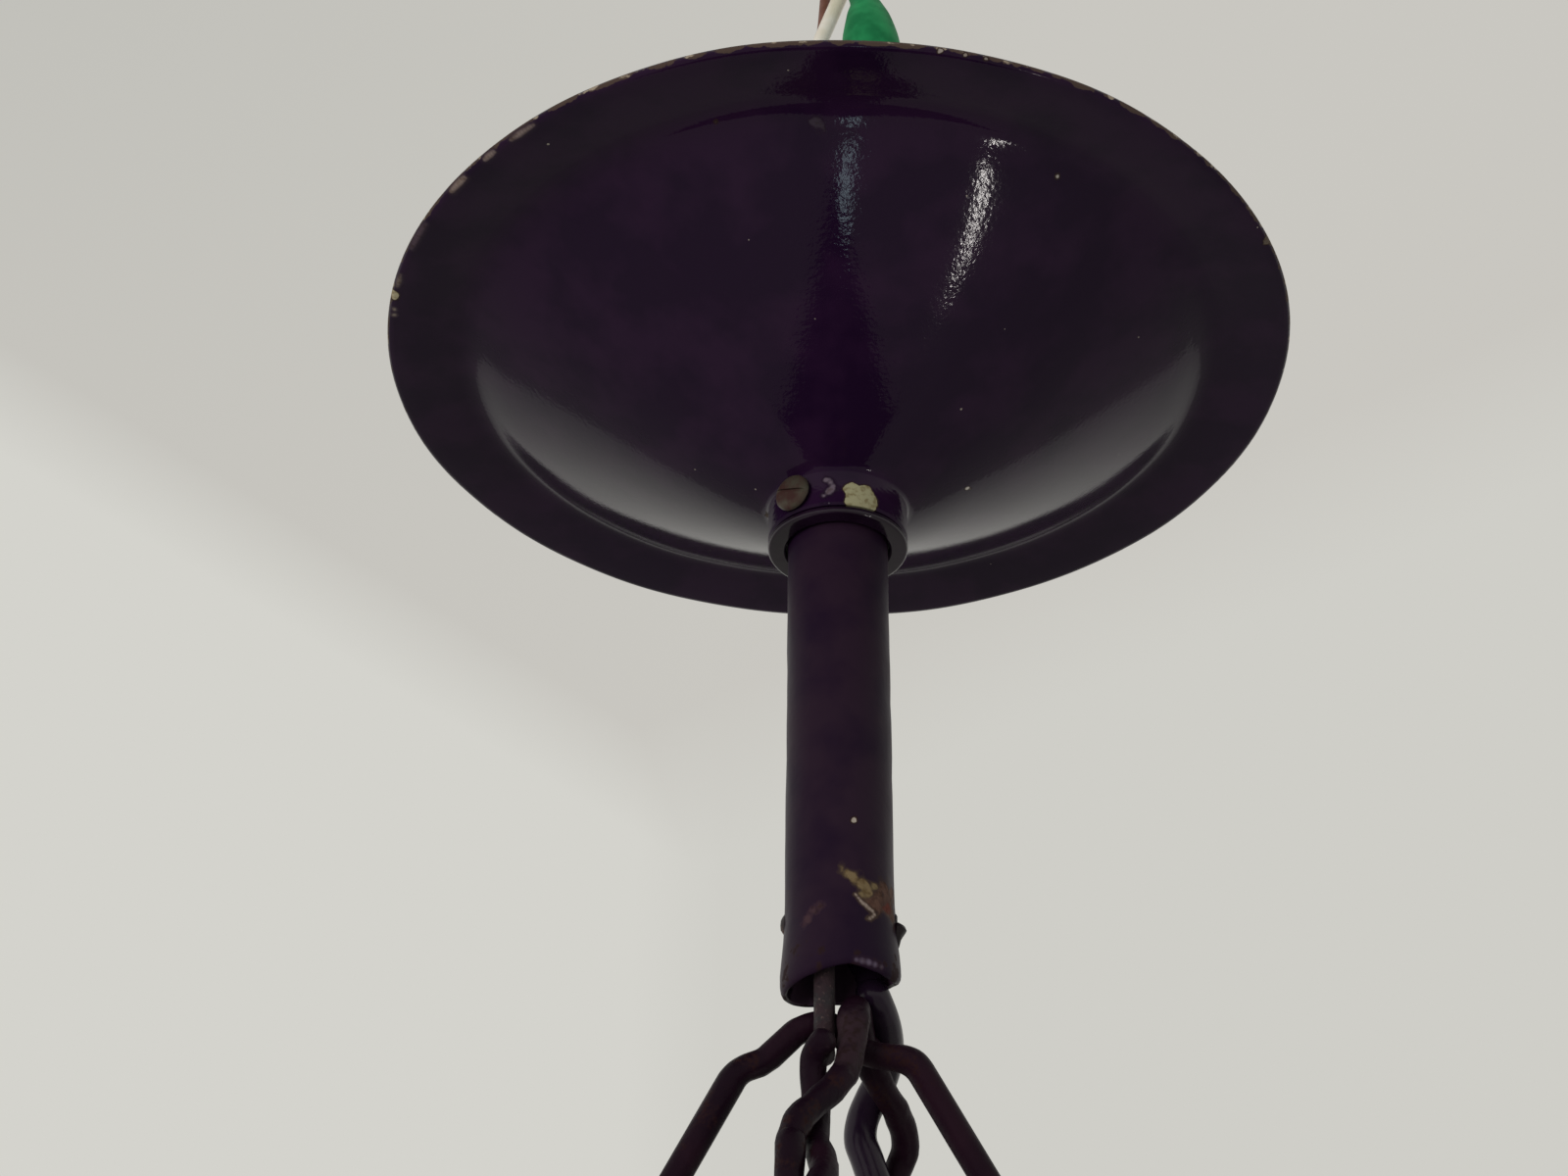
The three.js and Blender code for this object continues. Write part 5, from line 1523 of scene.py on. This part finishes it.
    def build(self) -> None:
        """Makes and dresses the lantern's pieces."""
        self.sheet_work()
        self.steel_work()
        self.glazing()
        self.brass_work()
        hang(self.holder(), Body.LANTERN, "holder_plastic", PHENOLIC, "lampholder")
        hang(self.bulb(), Body.LANTERN, "opal_glass", OPAL, "bulb")
        hang(self.finial(), Body.LANTERN, "lantern_paint", LANTERN_ENAMEL, "finial")
        hang(self.ring(), Body.RING, "black_steel", BLACKED_STEEL, "finial_ring")


# ---------------------------------------------------------------- studio


@dataclass(frozen=True)
class Lamp:
    """One soft studio lamp: where it stands, its size and its power."""

    name: str
    place: Point
    width: float
    height: float
    power: float
    colour: str
    mirrored: bool = False
    roll: float = 0.0


@dataclass
class Studio:
    """The camera at the photograph's angle, a pale floor, a pale surround and soft lamps.

    Edges of the room are given by points of the picture, in pixels from its top left corner.
    """

    focal_px: float = 2200.0
    tilt: float = 32.85
    pan: float = -1.71
    roll: float = 0.61
    eye: Point = (0.0, -229.14, RIM_Z - 182.34)
    floor_z: float = -2400.0
    mirrored_strength: float = 0.85
    light_strength: float = 0.35
    room_corner: tuple[float, float] = (694, 846)
    ceiling_left: tuple[float, float] = (0, 430)
    ceiling_right: tuple[float, float] = (1600, 436)
    wall_foot: tuple[float, float] = (682, 1200)
    lamps: tuple[Lamp, ...] = (
        Lamp("window_right", (512, -150, -1095), 122, 9, 0.36, "#fffaf6", True, -15),
        Lamp("window_left", (31, -256, -1095), 22, 160, 0.11, "#b4cdd8", True),
        Lamp("wide_front", (-900, -1500, -300), 900, 900, 14.0, "#fff8f4"),
        Lamp("wide_back", (900, 1500, 300), 900, 900, 10.0, "#fff8f4"),
    )

    def axes(self) -> tuple[Vector, Vector, Vector]:
        """Gives the camera's right, up and forward directions.

        Returns:
            The three directions.
        """
        tilt, pan, roll = (math.radians(a) for a in (self.tilt, self.pan, self.roll))
        flat = math.cos(tilt)
        ahead = Vector((math.sin(pan) * flat, math.cos(pan) * flat, math.sin(tilt)))
        level = Vector((math.cos(pan), -math.sin(pan), 0))
        upright = level.cross(ahead)
        right = math.cos(roll) * level + math.sin(roll) * upright
        return right, -math.sin(roll) * level + math.cos(roll) * upright, ahead

    def ray(self, across: float, down: float) -> Vector:
        """Gives the direction in which a point of the picture is seen.

        Args:
            across: pixels from the picture's left edge.
            down: pixels from its top edge.

        Returns:
            The unit direction.
        """
        right, up, ahead = self.axes()
        way = (ahead + right * (across - PICTURE_WIDTH / 2) / self.focal_px
               + up * (PICTURE_HEIGHT / 2 - down) / self.focal_px)
        return way.normalized()

    def camera(self) -> None:
        """Sets the camera where the photograph was taken from."""
        right, up, ahead = self.axes()
        data = bpy.data.cameras.new("photograph_view")
        data.sensor_width = 36.0
        data.lens = self.focal_px / PICTURE_WIDTH * data.sensor_width
        data.clip_start, data.clip_end = 0.01, 50
        camera = bpy.data.objects.new("photograph_view", data)
        bpy.context.scene.collection.objects.link(camera)
        turn = Matrix((right, up, -ahead)).transposed().to_4x4()
        camera.matrix_world = Matrix.Translation(Vector(self.eye) * MM) @ turn
        bpy.context.scene.camera = camera

    def floor(self) -> None:
        """Lays the plain pale floor."""
        lay_tools_down()
        bpy.ops.mesh.primitive_plane_add(size=14, location=(0, 0, self.floor_z * MM))
        floor = settle(bpy.context.object, "pale_floor")
        look = Look(bpy.data.materials.new("matt_pale_floor"))
        tone = look.mix(look.clouds(400, 2, 0.4, 0.6), "#e6e5e0", "#ecebe6")
        floor.data.materials.append(look.finish(tone, 0.9))

    def beyond(self, look: Look, first: tuple[float, float],
               second: tuple[float, float]) -> Socket:
        """Gives how far a direction lies left of a line in the picture, from first to second."""
        normal = self.ray(*second).cross(self.ray(*first)).normalized()
        return look.vectors("DOT_PRODUCT", look.place, tuple(normal))

    def room(self, look: Look) -> Socket:
        """Gives the room's colours with light and shade painted in: a ceiling painted darker than
        two pale walls, all out of focus, a painted shade band along the ceiling's edges and painted
        shade below.

        Args:
            look: the world's look.

        Returns:
            The colour's socket.
        """
        ramp, mix, corner = look.ramp, look.mix, self.room_corner
        across, _, height = look.node("SeparateXYZ", {0: look.place}).outputs
        left = self.beyond(look, self.ceiling_left, corner)
        right = self.beyond(look, corner, self.ceiling_right)
        ceiling = look.maths("MINIMUM", ramp(left, -0.012, 0.03), ramp(right, -0.02, 0.05))
        # painted shade: a darker band along the ceiling's edges, where it meets the walls
        edge = look.maths("MULTIPLY", ramp(look.maths("MINIMUM", left, right), 0.16, 0.0), ceiling)
        # painted light and shade: the ceiling darker towards the left and lighter lower down
        tone = mix(ramp(across, -0.36, 0.1), "#c1c0ba", "#c9c7c1")
        tone = mix(ramp(height, 0.72, 0.5, 0, 0.5), tone, "#cdcbc5")
        tone = mix(look.maths("MULTIPLY", edge, 0.3), tone, "#c5c1bb")
        side = self.beyond(look, corner, self.wall_foot)
        # painted light: the walls lighter than the ceiling, the two walls in slightly different
        # tones
        walls = mix(ramp(side, -0.02, 0.02), "#d4d3cd", "#cfcec8")
        # painted shade below: the room turns dark grey towards the bottom
        return mix(ramp(height, -0.1, -0.75), mix(ceiling, walls, tone), "#6d6b68")

    def surround(self) -> None:
        """Sets the world: the room where it is seen or mirrored, and a plain light elsewhere."""
        world = bpy.data.worlds.new("pale_surround")
        world.use_nodes = True
        world.node_tree.nodes.clear()
        bpy.context.scene.world = world
        look = Look(world, "Generated")
        rays = look.node("LightPath").outputs
        mirrored = rays["Is Glossy Ray"]
        shown = look.maths("MAXIMUM", rays["Is Camera Ray"],
                           look.maths("MAXIMUM", mirrored, rays["Is Transmission Ray"]))
        strength = look.ramp(mirrored, 0, 1, 1.0, self.mirrored_strength)
        pale = look.node("Background", {"Color": self.room(look), "Strength": strength})
        light = look.node("Background", {"Color": "#f4f2ee", "Strength": self.light_strength})
        mixed = look.node("MixShader", {0: shown, 1: light.outputs[0], 2: pale.outputs[0]})
        look.node("OutputWorld", {"Surface": mixed.outputs[0]})

    def light(self) -> None:
        """Sets up the lamps, each aimed at the canopy."""
        aim = Vector((0, 0, RIM_Z))
        for lamp in self.lamps:
            data = bpy.data.lights.new(lamp.name, "AREA")
            data.shape = "RECTANGLE"
            data.size, data.size_y = lamp.width * MM, lamp.height * MM
            data.energy = lamp.power
            data.color = linear(lamp.colour)[:3]
            stand = bpy.data.objects.new(lamp.name, data)
            stand.visible_glossy = lamp.mirrored
            stand.visible_camera = stand.visible_transmission = False
            bpy.context.scene.collection.objects.link(stand)
            stand.location = Vector(lamp.place) * MM
            facing = (aim - Vector(lamp.place)).to_track_quat("-Z", "Y").to_matrix()
            roll = Matrix.Rotation(math.radians(lamp.roll), 3, "Z")
            stand.rotation_euler = (facing @ roll).to_euler()

    def build(self) -> None:
        """Sets up the whole studio."""
        bpy.context.scene.view_settings.view_transform = "Standard"
        self.camera()
        self.floor()
        self.surround()
        self.light()


def main() -> None:
    logging.basicConfig(level=logging.INFO, format="%(name)s: %(message)s")
    lay_tools_down()
    for part in (Studio(), Hanging(), Canopy(), Stem(), Hangers(), Lantern()):
        log.info("building %s", type(part).__name__)
        part.build()
    lay_tools_down()


if __name__ == "__main__":
    main()
